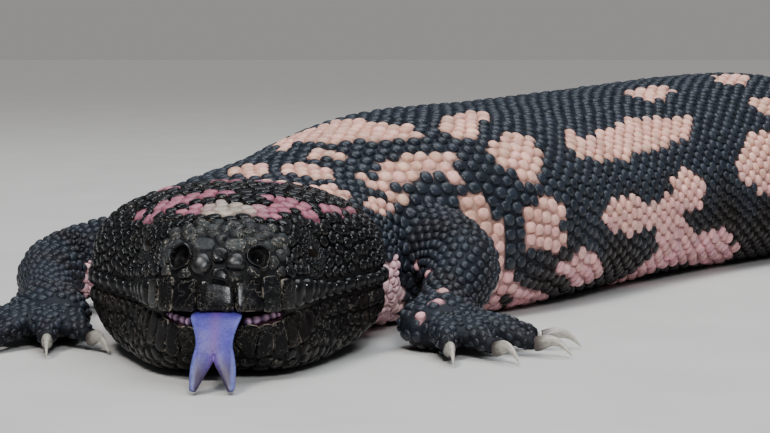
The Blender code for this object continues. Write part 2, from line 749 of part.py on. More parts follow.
def tube_rings(path, ahead, half_widths, half_heights, sides, beads=0.0):
    """Oval rings square to a path, flat where they reach the floor. Beads is how far every second point of
    the rings between the first and the last stands out."""
    rings = []
    turns = np.arange(sides) * 2 * math.pi / sides
    for index, point in enumerate(path):
        level = np.cross(ahead[index], (0.0, 0.0, 1.0))
        level = level / np.linalg.norm(level)
        upright = np.cross(level, ahead[index])
        stand_out = np.where((np.arange(sides) + index) % 2 == 0, beads, 0.0)
        if index in (0, len(path) - 1):
            stand_out = stand_out * 0.0
        wide = (half_widths[index] + stand_out) * np.cos(turns)
        high = (half_heights[index] + stand_out) * np.sin(turns)
        ring = point + np.outer(wide, level) + np.outer(high, upright)
        ring[:, 2] = np.maximum(ring[:, 2], 0.0)
        rings.append(ring)
    return rings


def leg_length(name, joints, keys, sizes, start, end, sides, step=4.0):
    """One length of a leg between two distances along the curve through its joints, plain at the cuts."""
    at = stations_between(start, end, step)
    path = smooth_value(keys, joints, at)
    ahead = smooth_value(keys, joints, at + 0.5) - smooth_value(keys, joints, at - 0.5)
    ahead /= np.linalg.norm(ahead, axis=1)[:, None]
    wide = smooth_value(keys, sizes[:, 0], at)
    high = smooth_value(keys, sizes[:, 1], at)
    return loft(name, tube_rings(path, ahead, wide, high, sides, LEG_BEAD_RISE), SKIN)


def digits(palm, forward, lengths, side):
    """Fingers or toes that fan out from the palm and arch over their knuckles. Each one is returned with its
    tip and its direction."""
    made = []
    for turn, length in zip(DIGIT_SPREAD, lengths):
        angle = math.atan2(forward[1], forward[0]) + math.radians(turn) * side
        direction = np.array([math.cos(angle), math.sin(angle)])
        reach = DIGIT_ROOT + DIGIT_SHARES * (length - DIGIT_ROOT)
        path = np.column_stack([palm[:2] + np.outer(reach, direction), DIGIT_LEVELS])
        rings = tube_rings(path, directions(path), DIGIT_RADII, DIGIT_RADII * 0.95, DIGIT_SIDES)
        made.append((loft("digit", rings, SKIN, "working"), path[-1], direction))
    return made


def claw(name, tip, direction):
    """Curved claw that starts a clearance beyond its digit and comes down towards the floor."""
    shares = np.linspace(0.0, 1.0, 5)
    arch = np.append(CLAW_ARCH, CLAW_TIP_LEVEL - tip[2])
    plan = tip[:2] + np.outer(GAP + shares * CLAW_LENGTH, direction)
    path = np.column_stack([plan, tip[2] + arch])
    radii = CLAW_RADIUS + (CLAW_TIP_RADIUS - CLAW_RADIUS) * shares**1.2
    ahead = directions(path)
    ahead[0] = (*direction, 0.0)
    rings = tube_rings(path, ahead, radii * 0.8, radii, CLAW_SIDES)
    return loft(name, rings, CLAW)


def leg(limb, joints, sizes, pointing, lengths, side_name, names, cutter_span):
    """One leg: two lengths of limb, then the hand or foot with its digits and claws. Joints run from inside
    the trunk to the front of the palm, and sizes are the half width and half height at each joint. Pointing
    is how far the middle digit points towards the head and outwards."""
    where = np.array([spot(*joint) for joint in joints])
    keys = np.concatenate([[0.0], np.cumsum(np.linalg.norm(np.diff(where, axis=0), axis=1))])
    elbow = keys[2] + PAST_ELBOW
    wrist = keys[3] - BEFORE_WRIST
    sizes = np.array(sizes)
    first, second, last = (f"{name}_{side_name}" for name in names)
    upper = leg_length(first, where, keys, sizes, 0.0, elbow - GAP / 2, 14)
    apply_boolean(upper, "DIFFERENCE", [trunk_cutter(*cutter_span)])
    leg_length(second, where, keys, sizes, elbow + GAP / 2, wrist - GAP / 2, 12)
    palm_end = leg_length(last, where, keys, sizes, wrist + GAP / 2, keys[-1], 10, 3.2)
    side = 1 if side_name == "left" else -1
    along = heading(joints[-2][0])
    outward_on_plan = side * np.array([along[1], -along[0]])
    forward = outward_on_plan * pointing[1] - along * pointing[0]
    fan = digits(spot(*joints[-2]), forward, lengths, side)
    apply_boolean(palm_end, "UNION", [made for made, _, _ in fan])
    for number, (_, tip, direction) in enumerate(fan, 1):
        claw(f"claw_{limb}_{side_name}_{number}", tip, direction)


def legs():
    arm = ("upper_arm", "forearm", "hand")
    hind = ("thigh", "shin", "foot")
    at_shoulders = (60.0, 130.0)
    at_hips = (250.0, 345.0)
    leg("hand", ARM_LEFT, ARM_SIZES, (0.47, 0.88), FINGER_LENGTHS, "left", arm, at_shoulders)
    leg("hand", ARM_RIGHT, ARM_SIZES, (0.92, 0.38), FINGER_LENGTHS, "right", arm, at_shoulders)
    leg("foot", THIGH_LEFT, THIGH_SIZES, (0.42, 0.90), TOE_LENGTHS, "left", hind, at_hips)
    leg("foot", THIGH_RIGHT, THIGH_SIZES, (0.42, 0.90), TOE_LENGTHS, "right", hind, at_hips)


# Tongue and gums

def tongue():
    """Broad tongue over the lower lip that bends down in front of the chin and parts into two prongs."""
    path = np.array([spot(station, 0.0, level) for station, level in TONGUE_BEND[:, :2]])
    body = loft("tongue", flat_rings(path, TONGUE_BEND[:, 2], TONGUE_BEND[:, 3], 10), TONGUE_SKIN)
    prongs = []
    for side in (-1, 1):
        points = np.array([spot(station, side * out, level) for station, out, level in PRONG_BEND[:, :3]])
        rings = flat_rings(points, PRONG_BEND[:, 3], PRONG_BEND[:, 4], 8)
        prongs.append(loft("prong", rings, TONGUE_SKIN, "working"))
    apply_boolean(body, "UNION", prongs)


def flat_rings(path, half_widths, half_heights, sides):
    """Flat oval rings along a path that stays nearly in one upright plane, level from side to side."""
    rings = []
    turns = np.arange(sides) * 2 * math.pi / sides
    for index, (point, ahead) in enumerate(zip(path, directions(path))):
        level = np.array([1.0, 0.0, 0.0]) - ahead[0] * ahead
        level /= np.linalg.norm(level)
        thick = np.cross(ahead, level)
        ring = point + np.outer(half_widths[index] * np.cos(turns), level)
        rings.append(ring + np.outer(half_heights[index] * np.sin(turns), thick))
    return rings


def gums():
    """Ridge of gum on the lower jaw to each side of the tongue, just inside the lip."""
    for side, name in ((1, "left"), (-1, "right")):
        stations = np.linspace(*GUM_STATIONS, GUM_RINGS)
        across = side * np.linspace(*GUM_ACROSS, GUM_RINGS)
        radii = np.linspace(*GUM_RADII, GUM_RINGS)
        levels = np.array([jaw_top(station) for station in stations]) + GAP + radii
        path = np.array([spot(*point) for point in zip(stations, across, levels)])
        loft("gum_" + name, tube_rings(path, directions(path), radii, radii, 8), GUM)


def main():
    clear_scene()
    head()
    eyes()
    tongue()
    gums()
    body_length("neck", HEAD_LENGTH, NECK_END, 34)
    body_length("chest", NECK_END, CHEST_END, 36)
    body_length("midbody", CHEST_END, MIDBODY_END, 36)
    body_length("rump", MIDBODY_END, RUMP_END, 34)
    body_length("tail_base", RUMP_END, TAIL_BASE_END, 26)
    body_length("tail_middle", TAIL_BASE_END, TAIL_MIDDLE_END, 22)
    tail_tip(18)
    legs()
    working = bpy.data.collections.get("working")
    if working:
        bpy.data.collections.remove(working)


main()
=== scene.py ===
import math
import random

import bmesh
import bpy
import numpy as np
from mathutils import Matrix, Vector
from mathutils.kdtree import KDTree


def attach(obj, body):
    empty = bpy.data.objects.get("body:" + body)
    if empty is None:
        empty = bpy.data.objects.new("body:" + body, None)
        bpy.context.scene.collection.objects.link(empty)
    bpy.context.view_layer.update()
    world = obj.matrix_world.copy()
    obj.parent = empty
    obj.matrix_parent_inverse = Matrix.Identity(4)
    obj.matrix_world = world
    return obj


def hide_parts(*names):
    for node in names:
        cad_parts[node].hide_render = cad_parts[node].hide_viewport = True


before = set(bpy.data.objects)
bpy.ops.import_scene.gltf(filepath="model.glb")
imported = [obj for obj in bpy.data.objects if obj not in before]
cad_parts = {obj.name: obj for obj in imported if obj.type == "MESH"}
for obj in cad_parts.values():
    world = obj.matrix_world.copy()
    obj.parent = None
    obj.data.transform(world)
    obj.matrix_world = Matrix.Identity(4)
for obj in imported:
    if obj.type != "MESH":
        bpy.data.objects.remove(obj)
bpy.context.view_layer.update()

# Trunk, neck and tail
# A heavy, rounded body that lies flat on its belly, with a thick neck and a short, fat tail. It follows one
# bent line on the floor from the snout to the tail tip.

MM = 0.001
ORIGIN_STATION = 190.0  # the part's origin is on the floor under this point of the body's line
BACK_FULLNESS = 2.2  # exponents of a section above and below its widest level: 2 is round, more is fuller
BELLY_FULLNESS = 3.2
WIDEST_SHARE = 0.40  # level of the widest part of a section, as a share of its height
BENDS = np.array([
    (-20.0, 0.0), (56.0, 0.0), (66.0, 9.0), (78.0, 27.0), (90.0, 37.0), (104.0, 36.0), (120.0, 29.0),
    (150.0, 27.0), (190.0, 30.0), (230.0, 37.0), (304.0, 44.0), (326.0, 33.0), (350.0, 12.0),
    (374.0, -4.0), (412.0, -22.0), (483.0, -38.0),
])  # distance from the snout tip, heading in degrees
BODY = np.array([
    (58.0, 26.4, 30.9, 0.4), (66.0, 29.0, 31.4, 0.2), (74.0, 29.6, 32.6, -0.2), (85.0, 28.0, 35.0, -0.8),
    (96.0, 28.8, 38.2, -1.4), (110.0, 32.8, 41.0, -1.8), (128.0, 36.6, 42.8, -2.0),
    (167.0, 38.8, 43.6, -2.0), (207.0, 39.5, 44.8, -2.0), (245.0, 39.5, 46.8, -2.0),
    (278.0, 38.2, 48.6, -2.0), (300.0, 34.8, 48.6, -2.0), (318.0, 30.0, 45.4, -1.8),
    (334.0, 24.8, 38.0, -1.4), (348.0, 20.8, 31.2, -1.0), (368.0, 18.6, 27.2, -0.9),
    (400.0, 17.8, 25.4, -0.9), (432.0, 15.6, 22.4, -0.8), (456.0, 11.8, 17.0, -0.6),
    (472.0, 7.5, 11.2, -0.4), (479.5, 3.9, 7.3, 0.6), (482.0, 1.6, 5.0, 2.0),
])  # distance from the snout tip, half width, top, underside


def curve(keys, values, at):
    """Smooth curve through a table, read at one or many places."""
    slopes = np.gradient(values, keys, axis=0)
    at = np.asarray(at, float)
    i = np.clip(np.searchsorted(keys, at, side="right") - 1, 0, len(keys) - 2)
    span = keys[i + 1] - keys[i]
    t = (at - keys[i]) / span
    if values.ndim > 1:
        span = span[..., None]
        t = t[..., None]
    start = values[i] * (2 * t**3 - 3 * t**2 + 1) + slopes[i] * span * (t**3 - 2 * t**2 + t)
    return start + values[i + 1] * (3 * t**2 - 2 * t**3) + slopes[i + 1] * span * (t**3 - t**2)


def ease(t):
    t = np.clip(t, 0.0, 1.0)
    return t * t * (3 - 2 * t)


def unit(vectors):
    return vectors / (np.linalg.norm(vectors, axis=-1, keepdims=True) + 1e-12)


def reach_along(points):
    """How far along a line of points each one lies."""
    return np.concatenate([[0.0], np.cumsum(np.linalg.norm(np.diff(points, axis=0), axis=1))])


def read_along(at, reach, points):
    """Points at distances along a line of points."""
    return np.column_stack([np.interp(at, reach, column) for column in points.T])


line_at = np.arange(-20.0, 484.0, 1.0)
turns_at = np.radians(np.interp(line_at, BENDS[:, 0], BENDS[:, 1]))
steps = np.column_stack([np.sin(turns_at), np.cos(turns_at)])
line = np.cumsum((steps + np.roll(steps, 1, axis=0)) / 2, axis=0)
line -= [np.interp(ORIGIN_STATION, line_at, line[:, k]) for k in (0, 1)]


def heading(station):
    turn = np.radians(np.interp(station, BENDS[:, 0], BENDS[:, 1]))
    return np.stack([np.sin(turn), np.cos(turn)], axis=-1)


def place(station, across, level):
    """Points at stations along the body, so far to the animal's left, at levels above the floor."""
    station, across, level = np.broadcast_arrays(station, across, level)
    along = heading(station)
    left = np.stack([along[..., 1], -along[..., 0]], axis=-1)
    middle = np.stack([np.interp(station, line_at, line[:, k]) for k in (0, 1)], axis=-1)
    return np.concatenate([middle + across[..., None] * left, level[..., None]], axis=-1)


def body_section(station, inset, count):
    """Points evenly round the body, from the middle of the back by the animal's left, and how far round each
    one lies in mm: positive on the left, negative on the right."""
    half_width, top, under = curve(BODY[:, 0], BODY[:, 1:], station)
    widest = under + WIDEST_SHARE * (top - under)
    turn = np.radians(90.0 - np.arange(0.0, 360.0, 2.0))
    side, rise = np.cos(turn), np.sin(turn)
    power = np.where(rise > 0, 2 / BACK_FULLNESS, 2 / BELLY_FULLNESS)
    across = half_width * np.sign(side) * np.abs(side) ** power
    level = widest + np.where(rise > 0, top - widest, widest - under) * np.sign(rise) * np.abs(rise) ** power
    ring = np.column_stack([across, np.maximum(level, 0.0)])
    ahead = unit(np.roll(ring, -1, axis=0) - np.roll(ring, 1, axis=0))
    ring -= inset * np.column_stack([-ahead[:, 1], ahead[:, 0]])
    closed = np.vstack([ring, ring[:1]])
    reach = reach_along(closed)
    at = np.linspace(0.0, reach[-1], count, endpoint=False)
    around = np.where(at > reach[-1] / 2, at - reach[-1], at)
    return place(station, *read_along(at, reach, closed).T), around


# Upper head
# A broad, flat skull under thick skin, blunt at the snout, with a brow over each eye, a swelling round each
# nostril and full jowls. Its lower edge is the upper lip.

HEAD = np.array([
    (0.0, 2.6, 16.4, 8.2, 13.1), (0.7, 5.2, 19.4, 6.9, 13.0), (2.0, 7.8, 21.8, 4.9, 12.9),
    (4.0, 10.2, 23.9, 3.1, 12.8), (7.0, 12.2, 25.3, 1.9, 12.7), (11.0, 13.8, 26.5, 1.2, 12.6),
    (17.0, 15.6, 27.9, 0.9, 12.4), (23.0, 17.6, 29.0, 0.8, 12.3), (29.0, 20.6, 30.1, 0.8, 12.3),
    (35.0, 24.0, 30.9, 0.7, 12.5), (41.0, 26.7, 31.4, 0.7, 12.7), (47.0, 27.6, 31.5, 0.6, 12.9),
    (53.0, 27.0, 31.2, 0.5, 13.1), (58.0, 26.4, 30.9, 0.4, 13.3), (70.0, 25.2, 30.3, 0.2, 13.7),
])  # distance from the snout tip, half width, top, underside of the jaw, mouth
HEAD_FULLNESS = 2.45
SWELLINGS = (
    (22.5, 49.0, 7.0, 13.0, 1.4), (20.3, 29.0, 4.5, 10.0, -0.9), (12.8, 32.0, 5.5, 12.0, -0.9),
    (42.0, 30.0, 9.0, 20.0, 0.9), (10.0, 8.0, 9.0, 9.0, 0.5), (4.5, 52.0, 4.5, 16.0, 0.7),
)  # distance from the snout tip, degrees above the lip, half length, half width in degrees, rise


def head_skin(station, angle, inset):
    """Points of the upper head. Angle 0 is the lip on the animal's left, 90 the crown."""
    station, angle = np.broadcast_arrays(np.asarray(station, float), np.asarray(angle, float))
    half_width, top, _, mouth = np.moveaxis(curve(HEAD[:, 0], HEAD[:, 1:], station), -1, 0)
    side, rise = np.cos(np.radians(angle)), np.sin(np.radians(angle))
    folded = np.minimum(angle, 180.0 - angle)
    swell = -inset
    for at, up, length, width, high in SWELLINGS:
        swell = swell + high * np.exp(-(((station - at) / length) ** 2) - ((folded - up) / width) ** 2)
    out = unit(np.stack([side / np.maximum(half_width, 1), rise / np.maximum(top - mouth, 1)], axis=-1))
    across = half_width * np.sign(side) * np.abs(side) ** (2 / HEAD_FULLNESS) + out[..., 0] * swell
    level = mouth + (top - mouth) * np.abs(rise) ** (2 / HEAD_FULLNESS) + out[..., 1] * swell
    return place(station, across, level)


def even(ring, count):
    """Points evenly along an open line of points, and how far along each one lies."""
    reach = reach_along(ring)
    at = np.linspace(0.0, reach[-1], count)
    return read_along(at, reach, ring), at


def head_section(station, inset, count):
    """Points evenly from the left lip over the crown to the right lip, and how far each one is from the
    middle of the crown: positive on the animal's left."""
    ring, at = even(head_skin(station, np.linspace(0.0, 180.0, 91), inset), count)
    return ring, at[-1] / 2 - at


# Lower jaw
# A full, deep jaw and throat, a little narrower than the upper lip in front and hanging ajar by some
# millimetres at the snout.

JAW_WIDTH_SHARE = 0.94  # width of the jaw in front, as a share of the upper head's
JAW_FULL_WIDTH_STATION = 40.0
LIP_GAP = 0.3  # between the closed lips
MOUTH_OPENING = 2.6
MOUTH_OPEN_LENGTH = 12.0
JAW_FULLNESS = 3.3
SWOLLEN_JAW_FULLNESS = 6.0
JAW_SWELLING = 2.0  # how far the gland under the lower lip stands out on each side
JAW_SWELLING_DROP = 0.7
JAW_SWELLING_STATION = 20.0
JAW_SWELLING_LENGTH = 12.0


def jaw_top(station):
    mouth = curve(HEAD[:, 0], HEAD[:, 4], station)
    return mouth - LIP_GAP - MOUTH_OPENING * (1 - ease(np.asarray(station) / MOUTH_OPEN_LENGTH))


def jaw_set_back(station):
    """How far the lower jaw lies behind the upper lip."""
    return 1.0 - ease(station / MOUTH_OPEN_LENGTH)


def jaw_section(station, inset, count):
    """Points evenly from the right lip round the throat to the left lip, and how far each one is from the
    middle of the throat: positive on the animal's left. The glands under the lower lip swell the sides."""
    half_width, _, under, _ = curve(HEAD[:, 0], HEAD[:, 1:], station)
    half_width *= JAW_WIDTH_SHARE + (1 - JAW_WIDTH_SHARE) * ease(station / JAW_FULL_WIDTH_STATION)
    top = jaw_top(station)
    way = (station - JAW_SWELLING_STATION) / JAW_SWELLING_LENGTH
    swelling = math.exp(-(way**2))
    fullness = JAW_FULLNESS + (SWOLLEN_JAW_FULLNESS - JAW_FULLNESS) * math.exp(-((way / 1.4) ** 4))
    across_throat = np.linspace(-1.0, 1.0, 121)
    turn = 0.5 * math.pi * np.sign(across_throat) * (1 - (1 - np.abs(across_throat)) ** (fullness / 2))
    side = np.sign(turn) * np.abs(np.sin(turn)) ** (2 / fullness)
    drop = np.cos(turn).clip(0.0) ** (2 / fullness)
    across = (half_width + JAW_SWELLING * swelling * ease(drop / 0.55) - inset) * side
    level = top - (top - under + JAW_SWELLING_DROP * swelling - inset) * drop
    ring = place(station, across, level)
    ring[:, 1] += jaw_set_back(station)
    ring, at = even(ring, count)
    return ring, at - at[-1] / 2


# Legs, hands and feet
# Short, strong legs bent out from the body, that end in flat palms with five stubby fingers or toes. Each
# runs from inside the trunk to the front of its palm, and its digits fan out from the palm.

ARM_SIZES = np.array([(9.8, 9.4), (9.6, 9.2), (8.0, 7.8), (6.0, 5.4), (8.2, 4.9), (5.2, 3.0)])
THIGH_SIZES = np.array([(13.0, 11.5), (12.0, 11.0), (8.2, 8.2), (6.2, 5.7), (8.2, 4.9), (5.2, 3.0)])
FINGERS = (18.0, 19.5, 20.5, 20.0, 16.5)
TOES = (15.5, 19.5, 22.0, 22.5, 18.0)
SPREAD = (-57.0, -30.0, 0.0, 28.0, 58.0)  # turn of each digit from the way the hand points, in degrees
DIGIT_ROOT = 3.0  # how far from the palm's middle a digit starts
DIGIT_SHARES = np.array([0.0, 0.35, 0.7, 1.0])
DIGIT_LEVELS = (4.3, 4.8, 3.6, 2.5)
DIGIT_RADII = np.array([3.1, 3.0, 2.6, 1.9])
KNUCKLE_SWELLING = 0.06
LEGS = {
    "hand_left": (((101, 8, 15.5), (99, 21, 16.5), (92.5, 37.5, 13.5), (51, 38.5, 5.8), (43.5, 37.5, 4.6),
                   (37, 38, 3.2)), ARM_SIZES, (0.47, 0.88), FINGERS, 1),
    "hand_right": (((93, -12, 15.5), (92, -27, 15.0), (80, -52, 9.8), (64, -40, 5.8), (56, -37.5, 4.6),
                    (49, -36, 3.2)), ARM_SIZES, (0.92, 0.38), FINGERS, -1),
    "foot_left": (((314, 10, 16), (313, 24, 16), (291, 48, 14), (302, 70, 6.8), (300.5, 79.5, 4.6),
                   (299, 85.5, 3.2)), THIGH_SIZES, (0.42, 0.90), TOES, 1),
    "foot_right": (((315, -10, 16), (314, -24, 16), (295, -49, 14), (307, -71, 6.8), (306, -80.5, 4.6),
                    (305, -86.5, 3.2)), THIGH_SIZES, (0.42, 0.90), TOES, -1),
}  # station, out from the middle and level of each joint; half widths and heights; way the hand points


def tube(path, ahead, half_widths, half_heights, count, inset):
    """Oval rings square to a path, flat where they meet the floor."""
    turn = np.arange(count) * math.tau / count
    level = unit(np.cross(ahead, (0.0, 0.0, 1.0)))
    upright = np.cross(level, ahead)
    wide = np.outer(half_widths - inset, np.cos(turn))
    high = np.outer(half_heights - inset, np.sin(turn))
    rings = path[:, None] + wide[..., None] * level[:, None] + high[..., None] * upright[:, None]
    rings[..., 2] = np.maximum(rings[..., 2], inset)
    return rings


def leg_rings(leg, step, count, inset):
    """Rings of one leg from hip or shoulder to the palm, with the distance along it of each."""
    joints, sizes = LEGS[leg][:2]
    points = place(*np.array(joints, float).T)
    keys = reach_along(points)
    at = np.arange(0.0, keys[-1], step)
    ahead = unit(curve(keys, points, at + 0.5) - curve(keys, points, at - 0.5))
    size = curve(keys, sizes, at)
    return tube(curve(keys, points, at), ahead, size[:, 0], size[:, 1], count, inset), at


def digit_lines(leg):
    """Path of each finger or toe of a leg, and the direction that it points in on the floor."""
    joints, _, pointing, lengths, side = LEGS[leg]
    palm = place(*np.array(joints[-2], float))
    along = heading(joints[-2][0])
    out = side * np.array([along[1], -along[0]])
    forward = out * pointing[1] - along * pointing[0]
    lines = []
    for turn, length in zip(SPREAD, lengths):
        angle = math.atan2(forward[1], forward[0]) + math.radians(turn) * side
        direction = np.array([math.cos(angle), math.sin(angle)])
        reach = DIGIT_ROOT + DIGIT_SHARES * (length - DIGIT_ROOT)
        path = np.column_stack([palm[:2] + np.outer(reach, direction), DIGIT_LEVELS])
        lines.append((path, direction))
    return lines


def digit_rings(line, step, count, inset):
    """Rings of one finger or toe, thicker over each knuckle."""
    keys = reach_along(line)
    at = np.arange(0.0, keys[-1] + 0.01, step)
    radius = curve(keys, DIGIT_RADII, at)
    radius *= 1.0 + KNUCKLE_SWELLING * np.cos(at / keys[-1] * 4 * math.pi)
    ahead = unit(curve(keys, line, at + 0.3) - curve(keys, line, at - 0.3))
    return tube(curve(keys, line, at), ahead, radius, radius * 0.95, count, inset), at


# Markings
# Black ground, painted slate-blue on the back and in patches on the limbs as a painted bluish sheen, with
# blotches and branching bars of peach and pink. Each bead is wholly one colour, so the edges of the blotches
# are stepped. The head is black but for patches of rose on the crown.

BACK_MARKS = (
    ((95, -13), (101, -15), (106, -12), (110, -9), (114, -5), (111, 2), (111, 7), (113, 11), (110, 14),
     (106, 15), (101, 12), (97, 8), (95, 3), (95, -2), (92, -4), (88, -5)),
    ((73, -6), (78, -6), (78, -2), (73, 1), (68, 1), (68, -1)),
    ((77, 3), (81, 4), (82, 9), (82, 13), (78, 15), (74, 12), (72, 8), (73, 6)),
    ((86, 4), (90, 4), (90, 8), (89, 11), (87, 12), (87, 8), (84, 6)),
    ((64, 13), (70, 15), (73, 17), (71, 20), (66, 20), (65, 17), (61, 15)),
    ((57, 2), (62, 4), (63, 9), (60, 11), (57, 8)),
    ((91, 18), (94, 17), (98, 19), (101, 20), (104, 22), (109, 23), (108, 28), (107, 30), (105, 29),
     (102, 25), (95, 24), (92, 22)),
    ((86, 17), (88, 18), (90, 22), (92, 25), (93, 27), (91, 28), (89, 26), (87, 22), (85, 19)),
    ((75, 22), (81, 23), (84, 26), (88, 27), (85, 28), (78, 27), (73, 25)),
    ((120, 13), (129, 11), (137, 11), (142, 13), (129, 18), (121, 21), (117, 20), (116, 18), (117, 15)),
)  # outline of each mark: distance from the snout tip, distance round from the middle of the back
FLANK_MARKS = (
    ((122, 26), (128, 25), (136, 25), (138, 28), (137, 31), (131, 35), (126, 37), (124, 36), (122, 32),
     (119, 29)),
    ((105, 35), (107, 32), (110, 34), (111, 40), (114, 44), (114, 47), (112, 49), (117, 55), (124, 61),
     (142, 71), (137, 74), (123, 66), (116, 58), (112, 54), (115, 60), (122, 67), (127, 76), (120, 73),
     (111, 58), (107, 50), (106, 44), (106, 40)),
    ((120, 43), (122, 41), (128, 41), (133, 45), (132, 48), (133, 52), (131, 53), (126, 52), (123, 50),
     (120, 46)),
    ((132, 57), (137, 56), (143, 56), (151, 58), (156, 62), (155, 66), (144, 64), (134, 60)),
    ((159, 25), (164, 24), (161, 28), (171, 29), (182, 28), (200, 25), (213, 26), (228, 28), (225, 32),
     (215, 35), (202, 36), (184, 36), (171, 37), (161, 36), (151, 34), (152, 31)),
    ((197, 44), (205, 43), (213, 44), (216, 49), (211, 52), (202, 53), (201, 56), (209, 59), (224, 59),
     (238, 66), (248, 76), (240, 78), (222, 70), (206, 67), (198, 68), (191, 76), (182, 82), (172, 80),
     (176, 70), (182, 63), (187, 59), (183, 55), (176, 53), (167, 54), (157, 52), (152, 49), (157, 46),
     (165, 46), (177, 48), (186, 49), (195, 47)),
    ((237, 44), (245, 39), (254, 37), (261, 37), (265, 39), (262, 47), (254, 54), (246, 52), (237, 49)),
    ((273, 8), (285, 4), (293, 5), (288, 11), (277, 17), (269, 16)),
    ((226, 11), (238, 7), (249, 9), (243, 14), (232, 19), (222, 17)),
    ((264, 27), (272, 24), (277, 26), (269, 32), (263, 31)),
)
NECK_STRIPE = (
    ((60, 34.5), (77, 36), (81, 39), (84, 42.5), (89, 47), (96, 57), (89, 60), (76, 54), (62, 47)),
)
LEFT_ARM = (((27.3, -1, 1.1),), ((40, 4, 1.1),), ((50.4, 8.1, 1.1),), ((56.7, 9.5, 1.1),), ((60, 4.6, 1.1),))
RIGHT_ARM = (((52.5, 22.2, 2.0), (44, 24.4, 2.0)), ((52, -20, 3.4), (44, -17.8, 3.6)))
BEHIND = (
    ((276, 52, 5), (286, 58, 6), (296, 66, 5)),
    ((292, 30, 5), (302, 34, 6), (304, 44, 5)),
    ((318, 8, 5), (324, 18, 6), (322, 30, 5)),
    ((330, 40, 4), (336, 34, 4)),
    ((340, 2, 6), (346, 12, 4)),
)  # each mark is a chain of spots: distance from the snout tip, distance round from the back, radius
CROWN = (
    ((20.8, -2.5, 4.4), (20.4, 0, 4.4), (19.6, 2.6, 3.4)),
    ((20.4, -7.2, 2.3), (19.6, -5.4, 2.2), (19.2, -3.9, 2.2)),
    ((30, -9, 2.8), (29.6, -11.5, 3.0), (26.4, -12.3, 2.4)),
    ((25, -13, 1.7), (25.6, -14.7, 1.6), (27, -16, 1.5)),
    ((34.8, -17.4, 1.5), (32.8, -18.9, 1.2)),
    ((32, -8, 1.4), (31.4, -4, 1.3), (31.6, 1, 1.2)),
    ((18, 4.6, 1.8), (20.6, 6.6, 2.3), (25, 8.6, 2.4), (27.4, 10.6, 2.4), (27, 13.7, 2.1), (27.6, 16.2, 1.8)),
    ((29.6, 8.7, 1.6), (31, 11.7, 1.6)),
    ((35, 16.2, 1.7), (36.4, 18.2, 1.9), (36.6, 20, 1.5)),
    ((39.6, 21.6, 1.1), (40.8, 23.2, 1.0)),
    ((48, 6, 2.6), (50, 3, 2.6), (50, -3, 2.2)),
    ((46, -13, 2.4), (50, -16, 2.0)),
)


def mark_depth(marks, station, around):
    """How far inside the nearest mark a place lies, in mm. It is negative outside."""
    deepest = np.full(np.shape(station), -50.0)
    for chain in marks:
        for (s0, w0, r0), (s1, w1, r1) in zip(chain, chain[1:] or chain):
            run, turn = s1 - s0, w1 - w0
            length = max(run * run + turn * turn, 1e-9)
            t = np.clip(((station - s0) * run + (around - w0) * turn) / length, 0.0, 1.0)
            away = np.hypot(station - s0 - t * run, around - w0 - t * turn)
            deepest = np.maximum(deepest, r0 + t * (r1 - r0) - away)
    return deepest


def outline_depth(outlines, station, around):
    """How far inside the nearest outline a place lies, in mm. It is negative outside."""
    deepest = np.full(np.shape(station), -50.0)
    for outline in outlines:
        away = np.full(np.shape(station), 50.0)
        inside = np.zeros(np.shape(station), bool)
        for (s0, w0), (s1, w1) in zip(outline, outline[1:] + outline[:1]):
            run, turn = s1 - s0, w1 - w0
            t = np.clip(((station - s0) * run + (around - w0) * turn) / (run * run + turn * turn), 0.0, 1.0)
            away = np.minimum(away, np.hypot(station - s0 - t * run, around - w0 - t * turn))
            if turn:
                inside ^= ((w0 > around) != (w1 > around)) & (station < s0 + (around - w0) * run / turn)
        deepest = np.maximum(deepest, np.where(inside, away, -away))
    return deepest


def wander(a, b, size, seed):
    """Smooth uneven value from about -1 to 1 over a surface, with lumps of about that size in mm."""
    draw = random.Random(seed)
    total = 0.0
    for octave in (1.0, 1.7, 2.9):
        for _ in range(3):
            way = draw.uniform(0, math.tau)
            speed = octave * math.tau / (2.2 * size)
            ahead = a * math.cos(way) + b * math.sin(way)
            total = total + np.sin(ahead * speed + draw.uniform(0, 9)) / octave
    return total / 3.2


SLATE_SHEEN = (0.019, 0.024, 0.034)
BROWN_BLACK = (0.010, 0.006, 0.006)
GLOSS_BLACK = (0.0042, 0.0042, 0.0050)
PEACH = (0.78, 0.445, 0.35)
LILAC_PINK = (0.68, 0.36, 0.38)
ROSE = (0.34, 0.125, 0.17)
SALMON_WITH_PAINTED_LIGHT = (0.88, 0.56, 0.58)
CREAM = (0.42, 0.35, 0.30)
DUSTY = (0.024, 0.028, 0.031)
JAW_BROWN = (0.007, 0.0045, 0.0038)
MOUTH_LINING = (0.035, 0.012, 0.020)


def blend(first, second, share):
    share = np.clip(share, 0.0, 1.0)[..., None]
    return np.asarray(first) * (1 - share) + np.asarray(second) * share


BELLY_AROUND = 84  # distance round from the middle of the back where the blotches of the belly begin
TAIL_STATION = 350
TAIL_BAND_STATION = 352.0  # middle of the first pink band of the tail
TAIL_BAND_PITCH = 33.0


